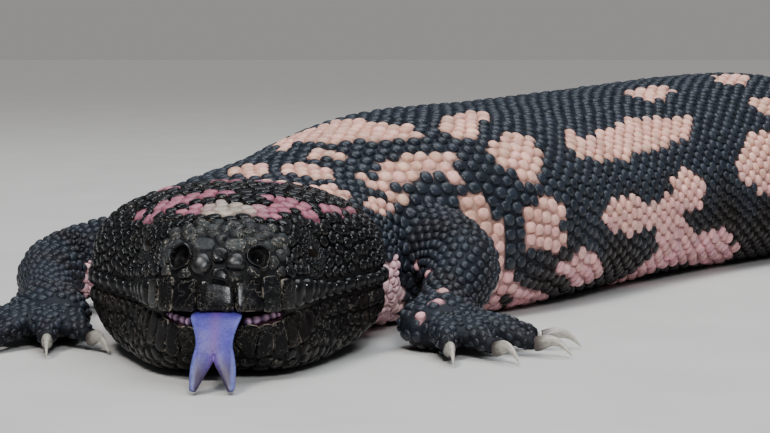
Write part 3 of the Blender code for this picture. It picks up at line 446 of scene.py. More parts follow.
def body_colour(station, around):
    """Dark and marked colours of the neck, trunk and tail, and how far each place is marked."""
    wide = np.abs(around)
    s = station + 0.9 * wander(station, around, 8, 3)
    w = around + 0.9 * wander(station, around, 8, 4)
    pink = outline_depth(BACK_MARKS + FLANK_MARKS, s, w) + 0.4
    pink = np.maximum(pink, mark_depth(BEHIND, s, w))
    mirrored = np.maximum(outline_depth(FLANK_MARKS, s - 7, -w - 3) + 0.4, mark_depth(BEHIND, s - 7, -w - 3))
    pink = np.where(around < -16, np.maximum(pink, mirrored), pink)
    stripe = outline_depth(NECK_STRIPE, s, np.abs(w)) + 0.4
    pink = np.maximum(pink, stripe)
    belly = 3.4 * wander(station, around, 16, 5) - 1.0
    pink = np.where(wide > BELLY_AROUND, np.maximum(pink, belly), pink)
    tail = 5.0 * np.cos((s - TAIL_BAND_STATION) / TAIL_BAND_PITCH * math.tau) - 0.6
    pink = np.where(station > TAIL_STATION, tail, pink)
    # The back is painted slate-blue as a painted bluish sheen; lower down the flanks it turns brown-black.
    ground = blend(SLATE_SHEEN, BROWN_BLACK, (wide - 46 + 6 * wander(station, around, 14, 6)) / 14)
    marked = blend(PEACH, LILAC_PINK, (wide - 40) / 24)
    # The neck stripe is pale salmon, painted lighter than its own colour as painted light against the shade
    # it lies in.
    marked = blend(marked, SALMON_WITH_PAINTED_LIGHT, stripe + 1.0)
    return ground, marked, np.clip(pink * 2.0 + 0.5, 0, 1)


def head_colour(station, around):
    s = station + 0.8 * wander(station, around, 5, 8)
    w = around + 0.8 * wander(station, around, 5, 9)
    pink = mark_depth(CROWN, s, w) + 0.1
    rose = blend(ROSE, CREAM, np.exp(-(((station - 20) / 7.0) ** 4) - ((around - 0.2) / 4.6) ** 4) * 1.2)
    snout = ease((15.5 - station) / 4) * ease((station - 1.5) / 2) * ease((15 - np.abs(around)) / 5)
    ground = blend(GLOSS_BLACK, DUSTY, snout * (0.6 + 0.4 * wander(station, around, 3, 10)))
    return ground, rose, np.clip(pink * 2.0 + 0.5, 0, 1)


def jaw_colour(station, around):
    brown = 0.5 + 0.5 * wander(station, around, 9, 12)
    ground = blend(GLOSS_BLACK, JAW_BROWN, brown)
    return ground, np.broadcast_to(LILAC_PINK, ground.shape), np.zeros(station.shape)


def limb_colour(station, around):
    """Limbs are black. The hind legs have small groups of pink beads above the knee."""
    pink = 3.0 * wander(station, around, 5, 14) - 1.5 - ease((station - 40) / 25) * 2.5
    # Slate-blue painted sheen mixed at random into the black.
    ground = blend(SLATE_SHEEN, BROWN_BLACK, 0.15 + 0.5 * wander(station, around, 9, 15))
    return ground, np.broadcast_to(LILAC_PINK, ground.shape), np.clip(pink + 0.5, 0, 1)


def left_arm_colour(station, around):
    ground, marked, _ = limb_colour(station, around)
    return ground, marked, np.clip(mark_depth(LEFT_ARM, station, around) * 4 + 0.5, 0, 1)


def right_arm_colour(station, around):
    ground = limb_colour(station, around)[0]
    pink = mark_depth(RIGHT_ARM, station, around)
    # The right arm's marks take the same salmon, painted lighter as painted light.
    return ground, np.broadcast_to(SALMON_WITH_PAINTED_LIGHT, ground.shape), np.clip(pink * 2, 0, 1)


def digit_colour(station, around):
    return limb_colour(station + 90.0, around)


# Charts
# A flat map of the hide: strips for the body, the head, the jaw, each leg and each digit. Every place on it
# knows its point in space, its colour and its place on the unwrapped map.

class Chart:
    def __init__(self, rings, at, around, colours, corner, per_mm, closed):
        rows, count = rings.shape[:2]
        self.point = rings
        self.station = np.repeat(np.asarray(at, float)[:, None], count, axis=1)
        self.around = np.broadcast_to(around, (rows, count))
        self.along = unit(np.gradient(rings, axis=0))
        step = np.gradient(self.around, axis=1)[..., None]
        flip = np.sign(step)
        if closed:
            self.across = unit(np.roll(rings, -1, axis=1) - np.roll(rings, 1, axis=1))
            flip = np.where(np.abs(step) > 20, np.roll(flip, 2, 1), flip)
        else:
            self.across = unit(np.gradient(rings, axis=1))
        self.across = self.across * flip
        map_along = corner[0] + self.station * per_mm[0]
        self.map = np.stack([map_along, corner[1] + self.around * per_mm[1]], axis=-1)
        self.scale = np.broadcast_to(per_mm, (rows, count, 2))
        self.dark, self.marked, self.pink = colours(self.station, self.around)

    def pick(self, mask_or_rows, columns=None):
        """The chosen places of the chart, as flat arrays."""
        chosen = mask_or_rows if columns is None else (mask_or_rows, columns)
        names = ("point", "station", "around", "along", "across", "map", "scale", "dark", "marked", "pink")
        return {name: getattr(self, name)[chosen] for name in names}


def round_tube(rings):
    """How far round a leg or digit each place lies, in mm from where its rings begin."""
    count = rings.shape[1]
    radius = np.linalg.norm(rings - rings.mean(axis=1, keepdims=True), axis=-1).mean(axis=1)
    turn = (np.arange(count) * math.tau / count + math.pi) % math.tau - math.pi
    return radius[:, None] * turn


HIDE_DEPTH = 0.85  # how far the hide of the body lies inside the bead tops
HEAD_HIDE_DEPTH = 0.45
LEG_HIDE_DEPTH = 0.4
DIGIT_HIDE_DEPTH = 0.25
body_rows = np.arange(57.0, 481.9, 2.9)
body_rings, body_around = zip(*[body_section(station, HIDE_DEPTH, 240) for station in body_rows])
body_chart = Chart(np.array(body_rings), body_rows, np.array(body_around), body_colour, (0.01, 0.225),
                   (0.00203, 0.00175), True)
head_rows = np.concatenate([np.arange(0.45, 2.0, 0.1), np.arange(2.0, 62.1, 0.6)])
head_rings, head_around = zip(*[head_section(station, HEAD_HIDE_DEPTH, 161) for station in head_rows])
head_chart = Chart(np.array(head_rings), head_rows, np.array(head_around), head_colour, (0.02, 0.58),
                   (0.0046, 0.0021), False)
jaw_rings, jaw_around = zip(*[jaw_section(station, HEAD_HIDE_DEPTH, 141) for station in head_rows])
jaw_chart = Chart(np.array(jaw_rings), head_rows, np.array(jaw_around), jaw_colour, (0.34, 0.58),
                  (0.0046, 0.0021), False)
leg_charts = []
digit_charts = []
for number, leg in enumerate(LEGS):
    rings, at = leg_rings(leg, 2.1, 96, LEG_HIDE_DEPTH)
    colours = {"hand_left": left_arm_colour, "hand_right": right_arm_colour}.get(leg, limb_colour)
    corner = (0.01 + 0.245 * number, 0.86)
    leg_charts.append(Chart(rings, at, round_tube(rings), colours, corner, (0.0021, 0.0032), True))
    for finger, (path, _) in enumerate(digit_lines(leg)):
        rings, at = digit_rings(path, 1.6, 48, DIGIT_HIDE_DEPTH)
        corner = (0.66 + 0.066 * finger, 0.51 + 0.064 * number)
        digit_charts.append(Chart(rings, at, round_tube(rings), digit_colour, corner, (0.0027, 0.0030), True))


# Hide
# One skin over the whole animal, fused from its lengths so that no seam shows at the neck, shoulders and
# hips. It is dark between the beads, and hollowed at the eyes, nostrils and ears.

def quads_between(rows, count):
    """Corners of the quads between closed rings of points, ring after ring."""
    j, i = np.meshgrid(np.arange(rows - 1), np.arange(count), indexing="ij")
    k = (i + 1) % count
    quads = np.stack([j * count + i, j * count + k, (j + 1) * count + k, (j + 1) * count + i], axis=-1)
    return quads.reshape(-1, 4)


def lofted(rings):
    """Closed skin over rings, as points and faces."""
    rows, count = rings.shape[:2]
    points = np.concatenate([rings.reshape(-1, 3), [rings[0].mean(axis=0)], [rings[-1].mean(axis=0)]])
    i = np.arange(count)
    k = (i + 1) % count
    top = (rows - 1) * count
    first = np.stack([k, i, np.full(count, rows * count)], axis=-1)
    last = np.stack([top + i, top + k, np.full(count, rows * count + 1)], axis=-1)
    return points, [*quads_between(rows, count).tolist(), *first.tolist(), *last.tolist()]


def values_of(items, name, kind=float, width=1):
    """One property of all the items of a mesh."""
    values = np.zeros(len(items) * width, kind)
    items.foreach_get(name, values)
    return values


def placed(name, data):
    """A new object in the scene."""
    made = bpy.data.objects.new(name, data)
    bpy.context.scene.collection.objects.link(made)
    return made


def fused(pieces, voxel, passes):
    """Closed skins melted into one with cells of about that size, then eased. Gives points and faces."""
    mesh = bpy.data.meshes.new("melt")
    points, faces = [], []
    for piece_points, piece_faces in pieces:
        base = sum(len(p) for p in points)
        points.append(piece_points)
        faces += [[index + base for index in face] for face in piece_faces]
    mesh.from_pydata((np.concatenate(points) * MM).tolist(), [], faces)
    shape = bmesh.new()
    shape.from_mesh(mesh)
    bmesh.ops.recalc_face_normals(shape, faces=shape.faces)
    shape.to_mesh(mesh)
    shape.free()
    melt = placed("melt", mesh)
    remesh = melt.modifiers.new("melt", "REMESH")
    remesh.mode = "VOXEL"
    remesh.voxel_size = voxel * MM
    eased = melt.modifiers.new("eased", "SMOOTH")
    eased.factor = 0.5
    eased.iterations = passes
    result = bpy.data.meshes.new_from_object(melt.evaluated_get(bpy.context.evaluated_depsgraph_get()))
    bpy.data.objects.remove(melt)
    points = values_of(result.vertices, "co", width=3)
    corners = values_of(result.loops, "vertex_index", int)
    starts = values_of(result.polygons, "loop_start", int)
    return points.reshape(-1, 3) / MM, np.split(corners, starts[1:])


MOUTH_MIDDLE = -0.8  # the head is turned a little, so that its middle in front lies off the line of the body
HEAD_CELL = 0.62
BODY_CELL = 1.25
seal = ease((head_rows - 38.0) / 6.0)
skull_rings = []
chin_rings = []
for row, station in enumerate(head_rows):
    arch = head_chart.point[row][::2].copy()
    floor = arch[:, 2].min()
    away = np.abs(np.linspace(-1, 1, len(arch))) * np.linalg.norm(arch[0] - arch[-1]) / 2
    hang = 0.25 - 0.85 * seal[row] - 1.0 * (1 - seal[row]) * ease((away - 3.5) / 3)
    arch[:, 2] += hang * ease((floor + 2.4 - arch[:, 2]) / 2.0)
    half = np.linalg.norm(arch[0] - arch[-1]) / 2
    inner = np.linspace(-half, half, 14)[1:-1]
    notch = 0.9 * np.exp(-(((inner - MOUTH_MIDDLE) / 3.8) ** 2)) * (1 - ease(station / 9.0))
    roof = place(station, inner, arch[0, 2] + notch)
    skull_rings.append(np.vstack([arch, roof]))
    throat = jaw_chart.point[row][::2].copy()
    throat[:, 2] = np.minimum(throat[:, 2], throat[0, 2])
    throat[[0, -1], 2] -= 0.2
    half = np.linalg.norm(throat[0] - throat[-1]) / 2
    inner = np.linspace(half, -half, 14)[1:-1]
    bed = place(station, inner, throat[0, 2] - 0.5 * np.cos(inner / half * 1.5) * (1 - seal[row]))
    bed[:, 1] += jaw_set_back(station)
    chin_rings.append(np.vstack([throat, bed]))
head_points, head_faces = fused([lofted(np.array(skull_rings)), lofted(np.array(chin_rings))], HEAD_CELL, 2)
lengths = [lofted(body_chart.point[:, ::2])]
lengths += [lofted(chart.point[:, ::3]) for chart in leg_charts]
lengths += [lofted(chart.point[:, ::3]) for chart in digit_charts]
body_points, body_faces = fused(lengths, BODY_CELL, 3)

EYE_STATION = 20.3
EYE_ANGLES = {"left": 26.5, "right": 147.0}
EYE_RADIUS = 2.7
EYE_SUNK = 1.4
SOCKET_SQUARE = 9.2  # square of the radius of the hollow round each eye
NOSTRILS = ((3.0, 53.0), (3.6, 131.0))  # station, angle
NOSTRIL_DEPTH = 2.2
NOSTRIL_RADIUS = 1.5
EAR_STATION = 50.5
EAR_ANGLES = (16.0, 164.0)
EAR_DEPTH = 1.4
EAR_RADII = (2.4, 1.2, 3.0)


def head_way(station, angle):
    """Outward direction of the upper head's skin."""
    up = head_skin(station, angle + 1.5, 0.0) - head_skin(station, angle - 1.5, 0.0)
    back = head_skin(station + 0.5, angle, 0.0) - head_skin(station - 0.5, angle, 0.0)
    return unit(np.cross(back, up))


eye_middles = {}
for side, angle in EYE_ANGLES.items():
    eye_middles[side] = head_skin(EYE_STATION, angle, 0.0) - EYE_SUNK * head_way(EYE_STATION, angle)
    out = head_way(EYE_STATION, angle)
    away = head_points - eye_middles[side]
    level = away @ out
    beside = away - level[:, None] * out
    reach = np.linalg.norm(beside, axis=1)
    sunk = beside - np.sqrt(np.maximum(SOCKET_SQUARE - reach**2, 0.0))[:, None] * out
    head_points = np.where(((reach < 3.0) & (level > -2.0))[:, None], eye_middles[side] + sunk, head_points)
for station, angle in NOSTRILS:
    away = head_points - head_skin(station, angle, HEAD_HIDE_DEPTH)
    depth = NOSTRIL_DEPTH * (1 - ease(np.linalg.norm(away, axis=1) / NOSTRIL_RADIUS))
    head_points -= np.outer(depth, head_way(station, angle))
for angle in EAR_ANGLES:
    away = head_points - head_skin(EAR_STATION, angle, HEAD_HIDE_DEPTH)
    depth = EAR_DEPTH * (1 - ease(np.linalg.norm(away / EAR_RADII, axis=1)))
    head_points -= np.outer(depth, head_way(EAR_STATION, angle))


def grown(name, points, faces, tint, corner_map, material):
    """A mesh object with a colour at each point and its place on the unwrapped map at each corner. A fourth
    column of the colour says how pink a point is, and is left at 0 where there is none."""
    tint = np.asarray(tint, np.float32)
    if tint.shape[1] == 3:
        tint = np.column_stack([tint, np.zeros(len(tint), np.float32)])
    mesh = bpy.data.meshes.new(name)
    sizes = np.array([len(face) for face in faces])
    corners = np.concatenate(faces)
    mesh.vertices.add(len(points))
    mesh.vertices.foreach_set("co", (np.asarray(points) * MM).ravel())
    mesh.loops.add(len(corners))
    mesh.loops.foreach_set("vertex_index", corners)
    mesh.polygons.add(len(faces))
    mesh.polygons.foreach_set("loop_start", np.concatenate([[0], np.cumsum(sizes)[:-1]]))
    mesh.update()
    mesh.polygons.foreach_set("use_smooth", np.ones(len(faces), bool))
    colour = mesh.color_attributes.new("tint", "FLOAT_COLOR", "POINT")
    colour.data.foreach_set("color", tint.ravel())
    layer = mesh.uv_layers.new(name="OFBake")
    layer.data.foreach_set("uv", np.asarray(corner_map, np.float32).ravel())
    mesh.materials.append(material)
    mesh.validate()
    mesh.update()
    return placed(name, mesh)


def near(tree, points, number):
    """Indices of the nearest entries of a tree to each point."""
    return np.array([[entry[1] for entry in tree.find_n(point, number)] for point in points.tolist()])


def tree_of(points):
    tree = KDTree(len(points))
    for index, point in enumerate(points.tolist()):
        tree.insert(point, index)
    tree.balance()
    return tree


def together(*groups):
    return {name: np.concatenate([group[name] for group in groups]) for name in groups[0]}


charts = [body_chart, head_chart, jaw_chart, *leg_charts, *digit_charts]
places = together(*[chart.pick(np.ones(chart.station.shape, bool)) for chart in charts])
place_tree = tree_of(places["point"])

hide_points = np.concatenate([body_points, head_points])
hide_faces = list(body_faces) + [face + len(body_points) for face in head_faces]
nearest = near(place_tree, hide_points, 1)[:, 0]
hide_tint = blend(places["dark"], places["marked"], places["pink"])[nearest] * 0.55
hide_pink = places["pink"][nearest]
snout = place(0.0, 0.0, 0.0)
deep = hide_points[:, 1] - snout[1]
lip = np.interp(deep, head_rows, curve(HEAD[:, 0], HEAD[:, 4], head_rows))
half_width = np.interp(deep, head_rows, curve(HEAD[:, 0], HEAD[:, 1], head_rows))
slack = half_width * 0.93 - np.abs(hide_points[:, 0] - snout[0])
above_lip = hide_points[:, 2] - lip
MOUTH_FRONT = 1.2  # behind the snout tip
MOUTH_BACK = 44
MOUTH_LEVELS = (-4.2, 0.9)  # from the lip
NOSTRIL_HOLE = 2.6
# Black of the pupils, also used as painted shade inside the nostril hollows.
PUPIL_BLACK_AND_NOSTRIL_SHADE = (0.002, 0.002, 0.002)
inside_mouth = (deep > MOUTH_FRONT) & (deep < MOUTH_BACK) & (slack > 1.0)
inside_mouth &= (above_lip > MOUTH_LEVELS[0]) & (above_lip < MOUTH_LEVELS[1])
hide_tint[inside_mouth] = MOUTH_LINING
# The hide inside each nostril hollow is painted near-black as painted shade.
for station, angle in NOSTRILS:
    hollow = np.linalg.norm(hide_points - head_skin(station, angle, 1.0), axis=1) < NOSTRIL_HOLE
    hide_tint[hollow] = PUPIL_BLACK_AND_NOSTRIL_SHADE


def unwrapped(points, faces):
    """Place of each face's corners on the unwrapped map, by the nearest place of the charts."""
    middles = np.array([points[face].mean(axis=0) for face in faces])
    corner_place = np.repeat(near(place_tree, middles, 1)[:, 0], [len(face) for face in faces])
    offset = points[np.concatenate(faces)] - places["point"][corner_place]
    ahead = (offset * places["along"][corner_place]).sum(-1)
    aside = (offset * places["across"][corner_place]).sum(-1)
    return places["map"][corner_place] + np.stack([ahead, aside], axis=-1) * places["scale"][corner_place]


class Paint:
    """The nodes of a material or of the world. Most methods add some and give the socket that comes out."""

    def __init__(self, owner):
        owner.use_nodes = True
        self.owner = owner
        self.nodes = owner.node_tree.nodes
        self.links = owner.node_tree.links
        self.shader = self.nodes.get("Principled BSDF") or self.nodes.get("Background")
        self.where = self.nodes.new("ShaderNodeTexCoord")

    def feed(self, socket, value):
        """Give a socket another socket's value, a number or a plain colour."""
        if isinstance(value, bpy.types.NodeSocket):
            self.links.new(value, socket)
        else:
            socket.default_value = value if isinstance(value, float) else (*value, 1.0)

    def node(self, kind, values):
        """A new node, with values for its sockets by name or number."""
        made = self.nodes.new(kind)
        for name, value in values.items():
            self.feed(made.inputs[name], value)
        return made

    def attribute(self, name):
        made = self.nodes.new("ShaderNodeAttribute")
        made.attribute_name = name
        return made

    def noise(self, scale, detail=4.0, roughness=0.55):
        """Noise in object space, with lumps of about 1 / scale metres."""
        values = {"Vector": self.where.outputs["Object"], "Scale": scale, "Detail": detail}
        return self.node("ShaderNodeTexNoise", {**values, "Roughness": roughness}).outputs["Fac"]

    def ramp(self, value, low, high, first, last):
        """Value from low to high turned into a number from first to last."""
        values = {"Value": value, "From Min": low, "From Max": high, "To Min": first, "To Max": last}
        return self.node("ShaderNodeMapRange", values).outputs["Result"]

    def maths(self, operation, *values):
        """Numbers put together by one of Blender's operations."""
        made = self.nodes.new("ShaderNodeMath")
        made.operation = operation
        for socket, value in zip(made.inputs, values):
            self.feed(socket, value)
        return made.outputs[0]

    def mix(self, kind, amount, first, second):
        """Two colours mixed in one of Blender's ways."""
        mix = self.nodes.new("ShaderNodeMix")
        mix.data_type = "RGBA"
        mix.blend_type = kind
        sockets = [socket for socket in mix.inputs if socket.enabled]
        for socket, value in zip(sockets, (amount, first, second)):
            self.feed(socket, value)
        return [socket for socket in mix.outputs if socket.enabled][0]

    def uneven(self, colour, value, dark, light, amount=1.0):
        """A colour made darker and lighter by a noise."""
        return self.mix("MULTIPLY", amount, colour, self.ramp(value, 0.3, 0.7, dark, light))

    def bump(self, height, strength, depth):
        """Fine unevenness of the surface, so many metres deep."""
        values = {"Strength": strength, "Distance": depth, "Height": height}
        return self.node("ShaderNodeBump", values).outputs["Normal"]

    def shade(self, values):
        """Give the shader its values by name. Gives the material or world."""
        for name, value in values.items():
            self.feed(self.shader.inputs[name], value)
        return self.owner


DUST = (0.30, 0.26, 0.20)
SEAM = (0.36, 0.31, 0.25)
WRINKLE = (0.26, 0.24, 0.20)


def horny_skin(name, rough_black, rough_pink, dust, pit_depth, suture=0.0, shine=0.27, wrinkles=0.0):
    """Beaded skin: the beads' own colours, uneven within each, with pale dust and dry flakes in the grooves,
    pale seams between plates and fine pale wrinkles. Black beads are polished and pink ones are waxy."""
    paint = Paint(bpy.data.materials.new(name))
    tint = paint.attribute("tint")
    edge = paint.attribute("groove").outputs["Fac"]
    mottle = paint.noise(900.0, 5.0)
    colour = paint.uneven(tint.outputs["Color"], mottle, 0.72, 1.22)
    colour = paint.uneven(colour, paint.noise(140.0, 3.0), 0.7, 1.3, 0.6)
    flakes = paint.ramp(paint.noise(2600.0, 6.0, 0.7), 0.55, 0.68, 0.0, 1.0)
    patches = paint.ramp(paint.noise(210.0, 2.0), 0.42, 0.62, 0.0, 1.0)
    in_groove = paint.ramp(edge, 0.35, 1.0, 0.12 * dust, dust)
    dusty = paint.maths("MULTIPLY", paint.maths("MULTIPLY", flakes, patches), in_groove)
    colour = paint.mix("MIX", dusty, colour, DUST)
    seam = paint.ramp(edge, 0.980, 0.994, 0.0, suture)
    broken = paint.ramp(paint.noise(420.0, 2.0), 0.50, 0.62, 0.0, 1.0)
    colour = paint.mix("MIX", paint.maths("MULTIPLY", seam, broken), colour, SEAM)
    crinkle = paint.maths("COMPARE", paint.noise(430.0, 3.0), 0.5, 0.009)
    fading = paint.ramp(paint.noise(190.0, 2.0), 0.42, 0.56, 0.1 * wrinkles, wrinkles)
    colour = paint.mix("MIX", paint.maths("MULTIPLY", crinkle, fading), colour, WRINKLE)
    polish = paint.ramp(mottle, 0.3, 0.7, rough_black - 0.06, rough_black + 0.10)
    gloss = paint.maths("MULTIPLY_ADD", tint.outputs["Alpha"], rough_pink - rough_black, polish)
    pits = paint.bump(paint.noise(1700.0, 6.0, 0.6), 0.35, pit_depth)
    return paint.shade({"Base Color": colour, "Roughness": gloss, "Normal": pits,
                        "Specular IOR Level": shine})


hide_skin = horny_skin("hide_skin", 0.55, 0.55, 0.5, 0.00012, 0.0, 0.15)
hide_tint = np.column_stack([hide_tint, hide_pink])
hide = grown("hide", hide_points, hide_faces, hide_tint, unwrapped(hide_points, hide_faces), hide_skin)
FLESH = ["head", "lower_jaw", "neck", "chest", "midbody", "rump", "tail_base", "tail_middle", "tail_tip"]
for side in ("left", "right"):
    FLESH += [f"{part}_{side}" for part in ("upper_arm", "forearm", "hand", "thigh", "shin", "foot")]
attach(hide, "root")
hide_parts(*FLESH)


# Beads and plates
# The hide is set with bony beads, domed and polished, in rows across the back, tail and legs, and with
# irregular flat plates on the head. Each grows from its own place and fills the room among its neighbours.

way_of = values_of(hide.data.vertices, "normal", width=3).reshape(-1, 3)
hide_tree = tree_of(hide_points)


BURIED = 0.9  # depth from which a seed is dropped


def settled(seeds):
    """Seeds moved onto the hide, with the hide's outward way. Those buried inside it are dropped."""
    close = near(hide_tree, seeds["point"], 7)
    way = unit(way_of[close].mean(axis=1))
    middle = hide_points[close].mean(axis=1)
    depth = ((seeds["point"] - middle) * way).sum(axis=-1)
    seeds["point"] = seeds["point"] - depth[:, None] * way
    seeds["way"] = way
    kept = np.abs(depth) < BURIED
    return {name: values[kept] for name, values in seeds.items()}


def in_rows(chart, pitch):
    """Places of a closed chart in rows across it, evenly spaced, with alternate rows set between."""
    rows, columns = [], []
    count = chart.station.shape[1]
    for row in range(1, len(chart.station) - 1):
        girth = np.linalg.norm(np.diff(chart.point[row], axis=0), axis=1).sum()
        number = max(6, round(girth / pitch))
        columns.append(((np.arange(number) + 0.5 * (row % 2)) * count / number).astype(int) % count)
        rows.append(np.full(number, row))
    return chart.pick(np.concatenate(rows), np.concatenate(columns))


def oval(long, wide, x, y, power=2):
    """Radius of an oval in the direction of a point. A higher power makes it squarer."""
    reach = np.hypot(x, y) + 1e-9
    return (np.abs(x / reach / long) ** power + np.abs(y / reach / wide) ** power) ** (-1 / power)


PATCH_RADIUS = 0.0015  # of each bead on the unwrapped map
NEIGHBOURS = 12
LEAST_WALL = 0.2
LEAST_RADIUS = 0.25
LOWEST_POINT = 0.02  # above the floor


def beads(name, seeds, profile, sides, sharpness, groove, material, among=None, room=1.18, power=2):
    """Joined mesh of one bead or plate on each seed, that meets its neighbours among those and others. A
    profile gives, from the root in, the share of the radius and of the height of each ring, then the height
    of the middle. Room is how far a bead may spread, as a share of its own size, and power how square it
    may grow."""
    among = seeds if among is None else among
    count = len(seeds["point"])
    forward = unit(seeds["along"] - (seeds["along"] * seeds["way"]).sum(-1, keepdims=True) * seeds["way"])
    leftward = np.cross(seeds["way"], forward)
    near_by = near(tree_of(among["point"]), seeds["point"], NEIGHBOURS)[:, 1:]
    gap = among["point"][near_by] - seeds["point"][:, None]
    x = (gap * forward[:, None]).sum(-1)
    y = (gap * leftward[:, None]).sum(-1)
    mine = oval(seeds["long"][:, None], seeds["wide"][:, None], x, y)
    their_forward = unit(among["along"])
    their_x = (gap * their_forward[near_by]).sum(-1)
    their_y = (gap * np.cross(among["way"], their_forward)[near_by]).sum(-1)
    theirs = oval(among["long"][near_by], among["wide"][near_by], their_x, their_y)
    wall = np.hypot(x, y) * mine / (mine + theirs)
    turn = np.arange(sides) * math.tau / sides + seeds["turn"][:, None]
    facing = np.cos(turn[:, None, :] - np.arctan2(y, x)[..., None])
    pull = np.maximum(facing, 0.0) / np.maximum(wall, LEAST_WALL)[..., None]
    own = oval(seeds["long"][:, None], seeds["wide"][:, None], np.cos(turn), np.sin(turn), power)
    limit = 1 / (own * room)
    radius = ((pull**sharpness).sum(axis=1) + limit**sharpness) ** (-1 / sharpness) - groove
    radius = np.maximum(radius, LEAST_RADIUS)
    rings = []
    for share, high in profile[:-1]:
        ahead = radius * share * np.cos(turn)
        aside = radius * share * np.sin(turn)
        lift = seeds["high"][:, None] * high - seeds["bend"][:, None] * aside**2 / 2
        rings.append(seeds["point"][:, None] + ahead[..., None] * forward[:, None]
                     + aside[..., None] * leftward[:, None] + lift[..., None] * seeds["way"][:, None])
    middle = seeds["point"] + (seeds["high"] * profile[-1])[:, None] * seeds["way"]
    points = np.concatenate([*rings, middle[:, None]], axis=1)
    points[..., 2] = np.maximum(points[..., 2], LOWEST_POINT)
    each = points.shape[1]
    i = np.arange(sides)
    k = (i + 1) % sides
    quads = quads_between(len(rings), sides)
    top = (len(rings) - 1) * sides
    fans = np.stack([top + i, top + k, np.full(sides, each - 1)], axis=-1)
    start = (np.arange(count) * each)[:, None, None]
    faces = [*(quads + start).reshape(-1, 4), *(fans + start).reshape(-1, 3)]
    shares = np.array([share for share, _ in profile[:-1]])
    local = np.stack([np.cos(turn), np.sin(turn)], -1)[:, None] * shares[:, None, None]
    local = np.concatenate([local.reshape(count, -1, 2), np.zeros((count, 1, 2))], axis=1)
    patch = seeds["map"][:, None] + local * PATCH_RADIUS
    tint = np.concatenate([seeds["tint"], seeds["pink"][:, None]], axis=-1)
    tint = np.repeat(tint[:, None], each, axis=1)
    groove_share = np.concatenate([np.repeat(shares, sides), [0.0]])
    corner_map = patch.reshape(-1, 2)[np.concatenate(faces)]
    made = grown(name, points.reshape(-1, 3), faces, tint.reshape(-1, 4), corner_map, material)
    rim = made.data.attributes.new("groove", "FLOAT", "POINT")
    rim.data.foreach_set("value", np.tile(groove_share, count).astype(np.float32))
    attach(made, "root")
    return made


BEAD = ((1.0, -0.3), (0.95, 0.30), (0.78, 0.70), (0.46, 0.94), 1.0)
PLATE = ((1.0, -0.4), (0.96, 0.45), (0.86, 0.82), (0.5, 0.97), 1.0)
draw = np.random.default_rng(7)


def dressed(seeds, long, wide, high, bend=0.0, steady=0.25):
    """Seeds given their sizes, each a little different, and a turn of the outline."""
    count = len(seeds["point"])
    vary = 1 + steady * 0.5 * draw.uniform(-1, 1, count)
    seeds["long"] = np.broadcast_to(long, count) * vary
    seeds["wide"] = np.broadcast_to(wide, count) * vary
    seeds["high"] = np.broadcast_to(high, count) * (1 + steady * draw.uniform(-1, 1, count))
    seeds["bend"] = np.broadcast_to(bend, count).astype(float)
    seeds["turn"] = draw.uniform(0, math.tau, count)
    return seeds


def one_colour(seeds):
    """Seeds made wholly pink or wholly dark, each a little different in shade from the next."""
    seeds["pink"] = (seeds["pink"] > 0.5).astype(float)
    lighter = 0.16 * draw.uniform(-1, 1, (len(seeds["pink"]), 1))
    vary = 1 + lighter + 0.05 * draw.uniform(-1, 1, seeds["dark"].shape)
    seeds["tint"] = blend(seeds["dark"], seeds["marked"], seeds["pink"]) * vary
    return seeds


def chosen(seeds, mask):
    return {name: values[mask] for name, values in seeds.items()}


def at_place(points, along):
    """Seeds at given points, with the colours and map of the nearest place of the hide."""
    index = near(place_tree, points, 1)[:, 0]
    seeds = {name: values[index].copy() for name, values in places.items()}
    seeds["point"] = points.astype(float)
    seeds["along"] = np.broadcast_to(along, points.shape).astype(float)
    return seeds


BODY_PITCH = 3.0  # between the beads' middles round a row
LEG_PITCH = 2.2
DIGIT_PITCH = 2.3
BARE_GAP = 1.9  # least distance between the beads that fill the bare places
BODY_BEAD = (1.5, 1.55, 0.80)  # half length, half width, rise
LEG_BEAD = (1.1, 1.1, 0.62)
DIGIT_BEAD = (0.95, 1.3, 0.34)
FILLING_BEAD = (1.1, 1.1, 0.5)
BELLY_EDGE = 78  # distance round from the middle of the back where the beads begin to flatten
TAIL_TAPER = 440
ARMS_END = 40  # the arms' beads lie in front of this place on the part's y axis
trunk = settled(in_rows(body_chart, BODY_PITCH))
wide = np.abs(trunk["around"])
belly = ease((wide - BELLY_EDGE) / 14)
slim = ease((trunk["station"] - TAIL_TAPER) / 35)
long, broad, rise = BODY_BEAD
rise = (rise - 0.32 * belly) * (1 - 0.35 * slim)
trunk = one_colour(dressed(trunk, long - 0.4 * slim, broad - 0.45 * slim, rise, steady=0.2))
bead_skin = horny_skin("bead_skin", 0.32, 0.44, 0.10, 0.00008)
lengths = (("scales_shoulders", 0, 130), ("scales_chest", 130, 190), ("scales_midbody", 190, 250),
           ("scales_hips", 250, 330), ("scales_tail", 330, 500))
for name, start, end in lengths:
    part = chosen(trunk, (trunk["station"] >= start) & (trunk["station"] < end))
    beads(name, part, BEAD, 10, 7.0, 0.10, bead_skin, trunk)

